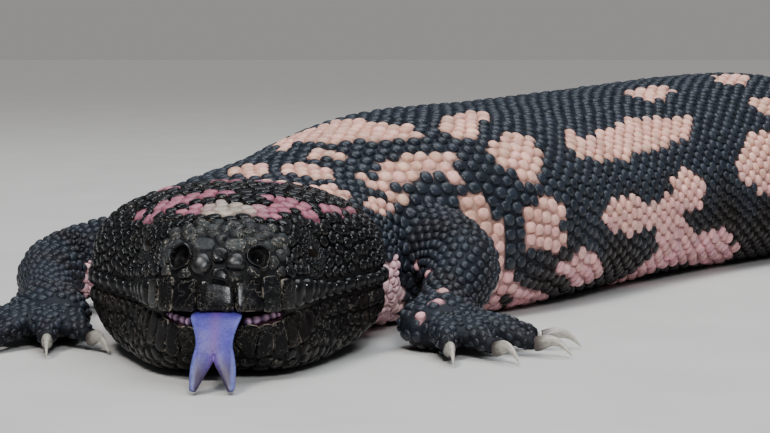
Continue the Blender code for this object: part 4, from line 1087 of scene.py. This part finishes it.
legs_dressed = []
for chart in leg_charts:
    seeds = in_rows(chart, LEG_PITCH)
    seeds = chosen(seeds, seeds["station"] < chart.station.max() - 5)
    seeds = settled(seeds)
    legs_dressed.append(one_colour(dressed(seeds, *LEG_BEAD, 0.08)))
for chart in digit_charts:
    seeds = settled(in_rows(chart, DIGIT_PITCH))
    legs_dressed.append(one_colour(dressed(seeds, *DIGIT_BEAD, 0.22)))
legs_dressed = together(*legs_dressed)
on_hide = np.arange(0, len(body_points), 2)
seed_points = np.vstack([trunk["point"], legs_dressed["point"]])
near_seed = near(tree_of(seed_points), hide_points[on_hide], 1)[:, 0]
seed_sizes = np.concatenate([trunk["wide"], legs_dressed["wide"]])
bare = np.linalg.norm(seed_points[near_seed] - hide_points[on_hide], axis=1) > 1.4 * seed_sizes[near_seed]
bare &= places["station"][nearest[on_hide]] > 3.0
extra = []
for index in draw.permutation(on_hide[bare]):
    if all(np.linalg.norm(hide_points[index] - hide_points[other]) > BARE_GAP for other in extra):
        extra.append(index)
extra = settled(at_place(hide_points[extra], places["along"][nearest[extra]]))
legs_dressed = together(legs_dressed, one_colour(dressed(extra, *FILLING_BEAD, 0.08)))
on_arms = legs_dressed["point"][:, 1] < ARMS_END
leg_skin = horny_skin("leg_skin", 0.36, 0.44, 0.14, 0.00008)
beads("scales_arms", chosen(legs_dressed, on_arms), BEAD, 10, 7.0, 0.08, leg_skin)
beads("scales_hind_legs", chosen(legs_dressed, ~on_arms), BEAD, 10, 7.0, 0.08, leg_skin)


# Plates of the upper head
# Bony plates under polished black skin. The rostral, two round swellings, the cupped plates of the nostrils
# and the tall lip plates are fixed; between them small plates grow close together, larger on the crown.

FRONT_PLATES = (
    (-0.1, 15.2, 2.5, 3.15, 0.75, 0.34),
    (5.2, 15.4, 2.75, 2.3, 0.7, 0.30), (-5.3, 15.4, 2.75, 2.15, 0.6, 0.1),
    (9.4, 15.2, 2.8, 2.15, 0.55, 0.05), (-9.0, 15.2, 2.8, 1.9, 0.55, 0.05),
    (0.5, 18.5, 1.2, 1.3, 0.8, 0.2), (0.4, 21.6, 1.35, 1.3, 0.8, 0.1),
    (-2.5, 23.3, 1.5, 2.6, 0.4, 0.0), (3.0, 23.3, 1.5, 2.6, 0.4, 0.0),
)  # out from the mouth's middle, level, half height, half width, rise, lean of the face upwards
BULBS = ((-2.7, 20.3, 1.95, 1.95, 1.3, 0.0), (3.2, 20.3, 1.95, 1.9, 1.3, 0.0))


FRONT_LENGTH = 9
FRONT_LEVEL = 13.2


def on_front(table):
    """Seeds of plates on the blunt front of the snout."""
    table = np.array(table)
    facing = (way_of[:, 1] < -0.15) & (hide_points[:, 1] < snout[1] + FRONT_LENGTH)
    front = hide_points[facing & (hide_points[:, 2] > FRONT_LEVEL)]
    points = []
    for out, level in table[:, :2] + (MOUTH_MIDDLE, 0.0):
        close = np.argsort(np.hypot(front[:, 0] - snout[0] - out, front[:, 2] - level))[:4]
        points.append((snout[0] + out, front[close, 1].mean(), level))
    seeds = settled(at_place(np.array(points), (0.0, 0.0, 1.0)))
    seeds["way"] = unit(seeds["way"] + np.outer(table[:, 5], (0.0, 0.0, 1.0)))
    return dressed(seeds, table[:, 2], table[:, 3], table[:, 4], steady=0.0)


def lip_line(chart, side, away):
    """Line along one lip, so many mm from its edge."""
    step = np.abs(chart.around[:, 0] - chart.around[:, 1])
    column = np.clip(away / step, 0, chart.around.shape[1] - 2)
    if side < 0:
        column = chart.around.shape[1] - 1 - column
    low = np.floor(column).astype(int)
    part = (column - low)[:, None]
    rows = np.arange(len(step))
    high = np.minimum(low + 1, len(chart.point[0]) - 1)
    return chart.point[rows, low] * (1 - part) + chart.point[rows, high] * part


def along_lip(edge, first, pitch):
    """Places along one side of a lip, from the front back, and the way that the lip runs there."""
    reach = abs(edge[0, 0] - snout[0] - MOUTH_MIDDLE) + reach_along(edge)
    at = first + np.cumsum(pitch) - pitch[0]
    points = read_along(at, reach, edge)
    return points, unit(read_along(at + 1, reach, edge) - points)


def lip_seeds(chart, away, first, pitch):
    """Seeds along both sides of one lip."""
    sides = []
    for side in (1, -1):
        points, ahead = along_lip(lip_line(chart, side, away), first, pitch)
        sides.append(settled(at_place(points, ahead)))
    return together(*sides)


def lip_plates(name, seeds, flat_end, flat_skin, bead_skin, among):
    """Flush plates along the front of a lip and round beads along its sides."""
    flat = seeds["station"] < flat_end
    plates = one_colour(chosen(seeds, flat))
    beads(f"plates_{name}", plates, FLUSH_PLATE, 24, 16.0, 0.02, flat_skin, among, 1.06, 5)
    sides = one_colour(chosen(seeds, ~flat))
    beads(f"scales_{name}", sides, BEAD, 20, 8.0, 0.05, bead_skin, among, 1.12, 2.3)


def from_lip(chart):
    """How far each place of the head or jaw is from its lip."""
    return np.abs(chart.around).max(axis=1, keepdims=True) - np.abs(chart.around)


MOST_PLATES = 4000
CLOSENESS = 0.47  # least distance between two plates, as a share of both widths together
EVENING_ROUNDS = 3


def filled(chart, mask, width_of, taken):
    """Places of a chart spread at their own spacing between the seeds that are already there."""
    open_places = chart.pick(mask)
    points = open_places["point"]
    width = width_of(open_places["station"], np.abs(open_places["around"]))
    fixed = taken["point"]
    spread = np.vstack([fixed, np.zeros((MOST_PLATES, 3))])
    spread_width = np.concatenate([taken["long"] + taken["wide"], np.zeros(MOST_PLATES)])
    number = len(fixed)
    kept = []
    for index in draw.permutation(len(points)):
        away = np.linalg.norm(spread[:number] - points[index], axis=1)
        if (away > CLOSENESS * (spread_width[:number] + width[index])).all():
            spread[number] = points[index]
            spread_width[number] = width[index]
            number += 1
            kept.append(index)
    for _ in range(EVENING_ROUNDS):
        owner = near(tree_of(np.vstack([fixed, points[kept]])), points, 1)[:, 0] - len(fixed)
        for k in range(len(kept)):
            cell = np.nonzero(owner == k)[0]
            if len(cell):
                centre = points[cell].mean(axis=0)
                kept[k] = cell[np.linalg.norm(points[cell] - centre, axis=1).argmin()]
    return chosen(open_places, np.array(kept)), width[kept]


def width_of_plate(station, wide):
    """Width of a small plate of the upper head: the crown's are the largest."""
    crown = np.exp(-((wide / 20) ** 4))
    front = ease((station - 2.0) / 2.0) * np.exp(-((wide / 11) ** 4))
    return 1.95 + 0.1 * front + 0.35 * ease((station - 26) / 10) * crown + 0.15 * crown


HEAD_END = 59.5
front = on_front(FRONT_PLATES)
bulbs = on_front(BULBS)
nasals = at_place(np.array([head_skin(station, angle, 0.5) for station, angle in NOSTRILS]), (0.0, 0.0, 1.0))
nasals["way"] = unit(np.array([head_way(station, angle) for station, angle in NOSTRILS]) + (0.0, -0.6, 0.0))
nasals["dark"] = np.broadcast_to(GLOSS_BLACK, nasals["dark"].shape)
nasals = dressed(nasals, 2.8, 2.5, 0.7, steady=0.0)
LIP_START = 13.0  # of the first plate beside the fixed ones, from the mouth's middle
LIP_PITCH = np.array([4.4, 4.2, 4.1, 4.0, 3.9, 3.8, 3.8, 3.8, 3.8, 3.8, 3.8, 3.8])
LIP_HALF_HEIGHT = 1.65 + 0.8 * ease((26 - head_rows) / 16)
upper_lip = lip_seeds(head_chart, LIP_HALF_HEIGHT - 0.3, LIP_START, LIP_PITCH)
tall = np.interp(upper_lip["station"], head_rows, LIP_HALF_HEIGHT)
behind = ease((upper_lip["station"] - 6) / 5)
upper_lip = dressed(upper_lip, 2.3 - 0.3 * behind, tall - 0.2 * behind, 0.7 + 0.5 * behind, steady=0.1)
fixed = together(front, bulbs, nasals, upper_lip)
from_eyes = [np.linalg.norm(head_chart.point - middle, axis=-1) for middle in eye_middles.values()]
open_head = (from_lip(head_chart) > 2 * LIP_HALF_HEIGHT[:, None] + 0.1) & (np.min(from_eyes, axis=0) > 5.0)
crown, width = filled(head_chart, open_head & (head_chart.station < HEAD_END), width_of_plate, fixed)
cheek = ease((np.abs(crown["around"]) - 18) / 6)
snout_top = ease((17 - crown["station"]) / 5) * (1 - cheek)
on_cheek = (cheek > 0.5) | (crown["station"] > 44)
crown = dressed(crown, width * (0.5 + 0.10 * cheek), width * (0.5 + 0.02 * cheek), 0.66 + 0.1 * snout_top)
crown["along"] = blend(crown["along"], crown["across"], cheek)
crown["on_cheek"] = on_cheek
crown = settled(crown)
on_cheek = crown.pop("on_cheek")
ROUND_PLATE = ((1.0, -0.3), (0.97, 0.3), (0.85, 0.66), (0.6, 0.88), (0.3, 0.97), 1.0)
FLUSH_PLATE = ((1.0, -0.3), (0.992, 0.45), (0.965, 0.68), (0.90, 0.84), (0.70, 0.95), (0.35, 0.99), 1.0)
CUPPED_PLATE = ((1.0, -0.3), (0.98, 0.5), (0.93, 0.9), (0.87, 1.0), (0.81, 0.8), (0.74, 0.1), (0.55, -1.4),
                -2.6)
plate_skin = horny_skin("plate_skin", 0.17, 0.36, 0.9, 0.00005, 0.6)
all_head = together(front, bulbs, nasals, upper_lip, crown)
crown = one_colour(crown)
on_snout = ~on_cheek & (crown["station"] < 14) & (np.abs(crown["around"]) < 13)
FOREHEAD_LEVEL = 22.0
dry_skin = horny_skin("dry_skin", 0.52, 0.5, 3.2, 0.0004, 0.0, 0.26, 0.75)
beads("scales_snout", chosen(crown, on_snout), BEAD, 14, 8.0, 0.09, dry_skin, all_head, 1.5)
beads("scales_crown", chosen(crown, ~on_cheek & ~on_snout), PLATE, 14, 8.0, 0.07, plate_skin, all_head, 1.5)
cheek_skin = horny_skin("cheek_skin", 0.20, 0.36, 0.25, 0.00005)
beads("scales_cheeks", chosen(crown, on_cheek), BEAD, 14, 6.0, 0.07, cheek_skin, all_head, 1.4)
FLAT_LIP_END = 8.5
lip_skin = horny_skin("lip_skin", 0.20, 0.36, 0.9, 0.00005, 0.6, 0.20, 0.25)
lip_plates("upper_lip", upper_lip, FLAT_LIP_END, lip_skin, cheek_skin, all_head)
dry = front["point"][:, 2] > FOREHEAD_LEVEL
muzzle = one_colour(chosen(front, ~dry))
beads("plates_front", muzzle, FLUSH_PLATE, 28, 18.0, 0.015, lip_skin, all_head, 1.12, 7)
forehead = one_colour(chosen(front, dry))
beads("plates_forehead", forehead, PLATE, 18, 10.0, 0.05, dry_skin, all_head, 1.12, 3)
bulb_skin = horny_skin("bulb_skin", 0.34, 0.36, 0.5, 0.00006, 0.0, 0.5, 0.2)
beads("plates_snout", one_colour(bulbs), ROUND_PLATE, 20, 8.0, 0.05, bulb_skin, all_head, 1.12)
beads("plates_nostrils", one_colour(nasals), CUPPED_PLATE, 24, 8.0, 0.04, plate_skin, all_head, 1.25)


# Plates of the lower jaw
# Smooth, dark brown plates along the lower lip, then flatter and smaller scales down over the chin and under
# the throat.

def width_of_jaw_scale(station, wide):
    return 2.2 + 0.6 * ease((24 - station) / 14) * np.exp(-((wide / 16) ** 4))


JAW_HALF_HEIGHT = 1.5 + 1.4 * ease((24 - head_rows) / 16)
JAW_START = 5.5
JAW_PITCH = np.array([2.8, 2.8, 2.9, 3.1, 3.4, 3.7, 3.9, 4.0, 3.9, 3.8, 3.8, 3.8, 3.8, 3.8])
lower_lip = lip_seeds(jaw_chart, JAW_HALF_HEIGHT + 0.45, JAW_START, JAW_PITCH)
tall = np.interp(lower_lip["station"], head_rows, JAW_HALF_HEIGHT)
behind = ease((lower_lip["station"] - 8) / 6)
lower_lip = dressed(lower_lip, 2.2 - 0.2 * behind, tall, 0.5 + 0.4 * behind, steady=0.1)
open_jaw = (from_lip(jaw_chart) > 2 * JAW_HALF_HEIGHT[:, None] + 0.4) & (jaw_chart.station < HEAD_END)
throat, width = filled(jaw_chart, open_jaw, width_of_jaw_scale, lower_lip)
flat = ease((1.6 - throat["point"][:, 2]) / 1.2)
throat = settled(dressed(throat, width * 0.5, width * 0.54, 0.5 - 0.2 * flat))
all_jaw = together(lower_lip, throat)
throat_skin = horny_skin("throat_skin", 0.30, 0.36, 0.6, 0.00005, 0.0, 0.12, 0.3)
FLAT_JAW_END = 11.0
chin_skin = horny_skin("chin_skin", 0.28, 0.36, 0.6, 0.00004, 0.75, 0.10, 0.28)
beads("scales_throat", one_colour(throat), BEAD, 14, 6.0, 0.07, throat_skin, all_jaw, 1.4)
lip_plates("lower_lip", lower_lip, FLAT_JAW_END, chin_skin, throat_skin, all_jaw)


# Eyes
# Small, round, wet eyes with a dark brown iris and a round pupil, sunk under the brow. Thick lids of fine
# granular skin close on each one from above and below.

def smooth_ball(middle, way, radius, rows, count):
    """Points and faces of a ball whose pole lies that way, the angle of each point from the pole and its turn
    round it."""
    aside = unit(np.cross(way, (0.0, 0.0, 1.0)))
    upward = np.cross(aside, way)
    tilt = np.repeat(np.linspace(0.04, math.pi - 0.04, rows), count)
    turn = np.tile(np.arange(count) * math.tau / count, rows)
    out = (np.cos(tilt)[:, None] * way + (np.sin(tilt) * np.cos(turn))[:, None] * aside
           + (np.sin(tilt) * np.sin(turn))[:, None] * upward)
    points, faces = lofted((middle + radius * out).reshape(rows, count, 3))
    return points, faces, np.concatenate([tilt, [0.0, math.pi]]), np.concatenate([turn, [0.0, 0.0]])


PUPIL = 0.34  # angle of each one's edge from the middle of the eye
IRIS = 0.80
IRIS_BROWN = (0.008, 0.0045, 0.0025)
EYE_RIM = (0.007, 0.005, 0.004)
paint = Paint(bpy.data.materials.new("eye"))
shade = paint.uneven(paint.attribute("tint").outputs["Color"], paint.noise(2400.0), 0.6, 1.5)
eye_skin = paint.shade({"Base Color": shade, "Roughness": 0.05, "Specular IOR Level": 0.35,
                        "Coat Weight": 0.1, "Coat Roughness": 0.02})
for side, angle in EYE_ANGLES.items():
    way = head_way(EYE_STATION, angle)
    points, faces, tilt, turn = smooth_ball(eye_middles[side], way, EYE_RADIUS, 40, 40)
    streaks = 0.75 + 0.35 * np.sin(turn * 17) * np.sin(turn * 6 + 1.0)
    iris = np.where(tilt < PUPIL + 0.10, 1.7, 1.0) * streaks
    shades = np.where((tilt < PUPIL)[:, None], PUPIL_BLACK_AND_NOSTRIL_SHADE, iris[:, None] * IRIS_BROWN)
    shades = np.where((tilt > IRIS)[:, None], EYE_RIM, shades)
    ball = grown(f"eyeball_{side}", points, faces, shades, unwrapped(points, faces), eye_skin)
    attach(ball, "root")
    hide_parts(f"eye_{side}")

LID_TURNS = np.arange(56) * math.tau / 56
LID_REACH = 4.9
LID_OPENING = (2.2, 1.5)  # half length, half height


def lid_sheet(middle, way, share):
    """Rings of the lids' surface, from the opening on the ball at share 0 out to the hide at share 1."""
    forward = unit(np.array((0.0, 1.0, 0.0)) - way[1] * way)
    upward = np.cross(way, forward) * np.sign(np.cross(way, forward)[2])
    spoke = np.cos(LID_TURNS)[:, None] * forward + np.sin(LID_TURNS)[:, None] * upward
    opening = 1 / np.hypot(np.cos(LID_TURNS) / LID_OPENING[0], np.sin(LID_TURNS) / LID_OPENING[1])
    foot = middle + LID_REACH * spoke + 0.6 * way
    close = near(hide_tree, foot, 5)
    depth = ((foot - hide_points[close].mean(axis=1)) * unit(way_of[close].mean(axis=1))).sum(-1)
    low = 0.6 - depth - 0.15
    high = np.sqrt((EYE_RADIUS + 0.12) ** 2 - opening**2)
    share = np.asarray(share)[:, None]
    out = opening + (LID_REACH - opening) * share
    swell = 0.25 * np.sin(np.clip(share, 0, 1) * math.pi) ** 0.8
    level = high * (1 - ease(share)) + low * ease(share) + swell
    level = np.where(share < 0, high - 0.5, level)
    return middle + out[..., None] * spoke + level[..., None] * way


lid_seeds = []
lid_points, lid_faces = [], []
for side, angle in EYE_ANGLES.items():
    way = head_way(EYE_STATION, angle)
    shares = np.concatenate([[-0.05], np.linspace(0.0, 1.0, 12)])
    sheet = lid_sheet(eye_middles[side], way, shares)
    quads = quads_between(*sheet.shape[:2])
    corner = sheet[1, 1] - sheet[1, 0]
    if np.dot(np.cross(corner, sheet[2, 0] - sheet[1, 0]), way) < 0:
        quads = quads[..., ::-1]
    lid_faces += (quads + sum(len(group) for group in lid_points)).tolist()
    lid_points.append(sheet.reshape(-1, 3))
    for share, pitch, shift in ((0.07, 0.85, 0.0), (0.27, 1.0, 0.5), (0.50, 1.25, 0.0), (0.78, 1.5, 0.5)):
        ring, ahead_ring = lid_sheet(eye_middles[side], way, [share, share + 0.04])
        closed = np.vstack([ring, ring[:1]])
        outer = np.vstack([ahead_ring, ahead_ring[:1]])
        reach = reach_along(closed)
        number = round(reach[-1] / pitch)
        at = (np.arange(number) + shift) * reach[-1] / number
        points = read_along(at, reach, closed)
        outward = unit(read_along(at, reach, outer) - points)
        ahead = unit(read_along(at + 0.3, reach, closed) - points + 1e-9)
        seeds = at_place(points, outward)
        normal = np.cross(outward, ahead)
        seeds["way"] = unit(normal * np.sign((normal * way).sum(-1, keepdims=True)))
        seeds["dark"] = np.broadcast_to(GLOSS_BLACK, seeds["dark"].shape)
        seeds["pink"] = seeds["pink"] * 0.0
        lid_seeds.append(dressed(seeds, 0.5 * pitch, 0.5 * pitch, 0.22 + 0.14 * share, steady=0.1))
lid_points = np.concatenate(lid_points)
lid_tint = np.tile(GLOSS_BLACK, (len(lid_points), 1))
lids = grown("lids", lid_points, lid_faces, lid_tint, unwrapped(lid_points, lid_faces), hide_skin)
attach(lids, "root")
beads("scales_lids", one_colour(together(*lid_seeds)), BEAD, 10, 7.0, 0.03, cheek_skin)


# Tongue
# A broad, soft, forked tongue, out over the lower lip and down almost to the floor. It is lilac, wet and
# finely pimpled, purple along a shallow groove in the middle, and brownish at the tips.

TONGUE = np.array([
    (6.6, 12.2, 3.4, 0.36), (3.4, 12.0, 3.9, 0.5), (1.0, 11.9, 4.25, 0.55), (-1.4, 11.5, 4.3, 0.6),
    (-3.6, 10.1, 3.7, 0.62), (-5.2, 8.4, 3.2, 0.6), (-6.4, 6.9, 3.15, 0.58), (-7.1, 6.0, 3.3, 0.5),
])  # distance behind the snout tip, level, half width, half thickness
PRONG = np.array([
    (-6.0, 1.5, 7.3, 1.6, 0.5), (-7.6, 1.8, 5.4, 1.8, 0.52), (-9.0, 2.4, 3.7, 1.48, 0.48),
    (-10.4, 2.83, 2.1, 1.03, 0.42), (-11.6, 3.15, 0.72, 0.58, 0.34),
])  # the same with the distance out from the middle


def ribbon(path, half_widths, half_heights, groove):
    """Flat oval rings along a path, finely divided, with a shallow groove along the upper side."""
    keys = reach_along(path)
    at = np.linspace(0.0, keys[-1], 44)
    line_points = curve(keys, path, at)
    ahead = unit(np.gradient(line_points, axis=0))
    across = unit(np.array((1.0, 0.0, 0.0)) - ahead[:, :1] * ahead)
    thick = np.cross(ahead, across)
    turn = np.arange(36) * math.tau / 36
    side = curve(keys, half_widths, at)[:, None] * np.cos(turn)
    rise = curve(keys, half_heights, at)[:, None] * np.sin(turn)
    rise = np.where(rise < 0, rise + groove * np.exp(-((side / 0.55) ** 2)), rise)
    return line_points[:, None] + side[..., None] * across[:, None] + rise[..., None] * thick[:, None]


root = place(TONGUE[:, 0], MOUTH_MIDDLE, TONGUE[:, 1])
strips = [lofted(ribbon(root, TONGUE[:, 2], TONGUE[:, 3], 0.22))]
for side in (-1, 1):
    path = place(PRONG[:, 0], MOUTH_MIDDLE + side * PRONG[:, 1], PRONG[:, 2])
    strips.append(lofted(ribbon(path, PRONG[:, 3], PRONG[:, 4], 0.0)))
TONGUE_CELL = 0.17
tongue_points, tongue_faces = fused(strips, TONGUE_CELL, 3)
tongue_points[:, 2] = np.maximum(tongue_points[:, 2], 0.1)
out = np.abs(tongue_points[:, 0] - snout[0] - MOUTH_MIDDLE)
behind = tongue_points[:, 1] - snout[1]
half = np.interp(behind, TONGUE[::-1, 0], TONGUE[::-1, 2])
LILAC = (0.056, 0.046, 0.270)
PURPLE = (0.105, 0.045, 0.225)
PALE_EDGE = (0.13, 0.15, 0.40)
TIP_MAUVE = (0.036, 0.022, 0.036)
tongue_tint = blend(LILAC, PURPLE, np.exp(-((out / 0.9) ** 2)) * 0.8)
tongue_tint = blend(tongue_tint, TIP_MAUVE, ease((-behind - 6.6) / 3.6) * 0.9)
tongue_tint = blend(tongue_tint, PALE_EDGE, ease((out / half - 0.8) / 0.2) * 0.6)


def wet_skin(name, scale, pimples):
    """Wet, soft skin in the mesh's own colours, with pimples of about 1 / scale metres."""
    paint = Paint(bpy.data.materials.new(name))
    fine = paint.noise(scale, 3.0)
    colour = paint.uneven(paint.attribute("tint").outputs["Color"], fine, 0.75, 1.3)
    colour = paint.uneven(colour, paint.noise(320.0), 0.78, 1.22)
    gloss = paint.ramp(fine, 0.3, 0.7, 0.26, 0.46)
    bump = paint.bump(fine, pimples, 0.00012)
    return paint.shade({"Base Color": colour, "Roughness": gloss, "Normal": bump, "Specular IOR Level": 0.35})


from_snout = tongue_points - (snout[0], snout[1], 0.0)
tongue_map = np.column_stack([from_snout[:, 0], from_snout[:, 2] + from_snout[:, 1]])
tongue_map = np.array((0.97, 0.85)) + tongue_map * 0.0016
tongue = grown("tongue_skin", tongue_points, tongue_faces, tongue_tint,
               tongue_map[np.concatenate(tongue_faces)], wet_skin("wet_tongue", 3200.0, 0.5))
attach(tongue, "root")
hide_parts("tongue")


# Gums
# A ridge of soft, wet, pink gum shows on each side of the tongue. It sits on the edge of the lower jaw and is
# beaded with low knobs, with painted shade of dark purple between them.

gum_skin = wet_skin("wet_gum", 1800.0, 0.3)
GUM_START = (2.7, 4.5)  # behind the snout tip, out from the mouth's middle
GUM_RUN = (4.9, 6.3)
GUM_RADIUS = 0.68
GUM_GAP_SHADE = (0.08, 0.04, 0.10)
GUM_PINK = (0.62, 0.38, 0.56)
for side, name in ((1, "left"), (-1, "right")):
    t = np.linspace(0.0, 1.0, 70)
    station = GUM_START[0] + GUM_RUN[0] * t
    across = side * (GUM_START[1] + GUM_RUN[1] * t) + MOUTH_MIDDLE * (1 - t)
    path = place(station, across, jaw_top(station) - 0.1 * t)
    knob = np.abs(np.sin(t * math.pi * 5.5 + 0.5 * np.sin(t * 9)))
    radius = (GUM_RADIUS - 0.30 * t) * (0.84 + 0.24 * knob)
    ahead = unit(np.gradient(path, axis=0))
    points, faces = lofted(tube(path, ahead, radius, radius * 1.15, 16, 0.0))
    # The gum is painted dark purple between its knobs as painted shade, and pink on their crests.
    unshaded_crest = np.concatenate([np.repeat(knob, 16), [0.0, 0.0]]) ** 2
    shades = blend(GUM_GAP_SHADE, GUM_PINK, unshaded_crest)
    gum = grown(f"gum_ridge_{name}", points, faces, shades, unwrapped(points, faces), gum_skin)
    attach(gum, "root")
    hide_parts(f"gum_{name}")


# Claws
# Curved claws of pale grey horn on every finger and toe. They taper to a fine tip, are finely streaked
# lengthways and are darker where they come out of the skin.

paint = Paint(bpy.data.materials.new("claw_horn"))
grain = paint.noise(1500.0, 5.0)
colour = paint.uneven(paint.attribute("tint").outputs["Color"], grain, 0.72, 1.2)
gloss = paint.ramp(grain, 0.3, 0.7, 0.24, 0.42)
horn = paint.shade({"Base Color": colour, "Roughness": gloss, "Normal": paint.bump(grain, 0.3, 0.00006)})
CLAW_LENGTH = 6.6
CLAW_RADIUS = 1.28
CLAW_TIP = 0.10
CLAW_DARK = (0.07, 0.055, 0.05)
CLAW_GREY = (0.40, 0.37, 0.32)
CLAW_PALE = (0.50, 0.46, 0.39)
CLAW_ARCH = np.array([0.0, 0.55, 0.5, -0.35])
for leg in LEGS:
    for number, (path, direction) in enumerate(digit_lines(leg), 1):
        root = path[-1]
        shares = np.linspace(0.0, 1.0, 5)
        knots = np.column_stack([root[:2] + np.outer(0.3 + shares * CLAW_LENGTH, direction),
                                 root[2] + np.append(CLAW_ARCH, 0.5 - root[2])])
        share = np.linspace(-0.12, 1.0, 26)
        middle = curve(shares, knots, share)
        radius = CLAW_RADIUS * (1 - np.clip(share, 0, 1) ** 1.25) + CLAW_TIP
        radius[-1] = 0.03
        ahead = unit(np.gradient(middle, axis=0))
        points, faces = lofted(tube(middle, ahead, radius * 0.78, radius, 20, 0.0))
        streak = 1 + 0.22 * draw.uniform(-1, 1, 20)
        shade = blend(CLAW_DARK, CLAW_GREY, ease((share + 0.05) / 0.4))
        shade = blend(shade, CLAW_PALE, ease((share - 0.55) / 0.4))
        shades = (shade[:, None] * streak[None, :, None]).reshape(-1, 3)
        shades = np.vstack([shades, shade[:1], shade[-1:]])
        nail = grown(f"nail_{leg}_{number}", points, faces, shades, unwrapped(points, faces), horn)
        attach(nail, "root")
        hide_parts(f"claw_{leg}_{number}")


# Floor, light and camera
# A pale studio floor and soft lights, seen from low in front of the snout.

floor_mesh = bpy.data.meshes.new("studio_floor")
shape = bmesh.new()
bmesh.ops.create_grid(shape, x_segments=2, y_segments=2, size=6.0)
shape.to_mesh(floor_mesh)
shape.free()
floor = placed("studio_floor", floor_mesh)
paint = Paint(bpy.data.materials.new("pale_floor"))
shade = paint.uneven((0.56, 0.545, 0.52), paint.noise(30.0), 0.96, 1.04)
floor_mesh.materials.append(paint.shade({"Base Color": shade, "Roughness": 0.8}))

paint = Paint(bpy.data.worlds.new("studio"))
parts = paint.node("ShaderNodeSeparateXYZ", {0: paint.where.outputs["Generated"]})
height = paint.ramp(parts.outputs["Z"], 0.02, 0.16, 0.0, 1.0)
glow = paint.mix("MIX", height, (0.300, 0.293, 0.283), (0.105, 0.114, 0.128))
bpy.context.scene.world = paint.shade({"Color": glow, "Strength": 1.0})


def light(name, kind, at, aim, power, colour):
    """Light that faces a point."""
    lamp = bpy.data.lights.new(name, kind)
    lamp.energy = power
    lamp.color = colour
    stand = placed(name, lamp)
    stand.location = at
    stand.rotation_euler = (Vector(aim) - Vector(at)).to_track_quat("-Z", "Y").to_euler()
    return lamp


snout_at = snout * MM
key = light("key", "SUN", (0.0, 0.0, 0.0), (0.30, 0.42, -0.85), 1.9, (1.0, 0.98, 0.95))
key.angle = math.radians(14.0)
sky = light("sky", "AREA", (0.15, 0.10, 0.9), (0.0, 0.0, 0.0), 8.0, (0.88, 0.94, 1.0))
sky.size = 0.8
front_at = (snout_at[0] + 0.10, snout_at[1] - 0.54, 0.38)
front_light = light("front", "AREA", front_at, (0.0, -0.1, 0.02), 2.9, (0.93, 0.96, 1.0))
front_light.size = 0.15

CAMERA_ASIDE = 27.5  # mm from the snout tip
CAMERA_AHEAD = 375.0
CAMERA_LEVEL = 58.0
CAMERA_TILT = 4.5  # degrees down
camera = bpy.data.cameras.new("camera")
camera.lens = 105.0
camera.sensor_width = 36.0
camera.clip_start = 0.02
view = placed("camera", camera)
view.location = (snout_at[0] + CAMERA_ASIDE * MM, snout_at[1] - CAMERA_AHEAD * MM, CAMERA_LEVEL * MM)
view.rotation_euler = (math.radians(90.0 - CAMERA_TILT), 0.0, 0.0)
bpy.context.scene.camera = view
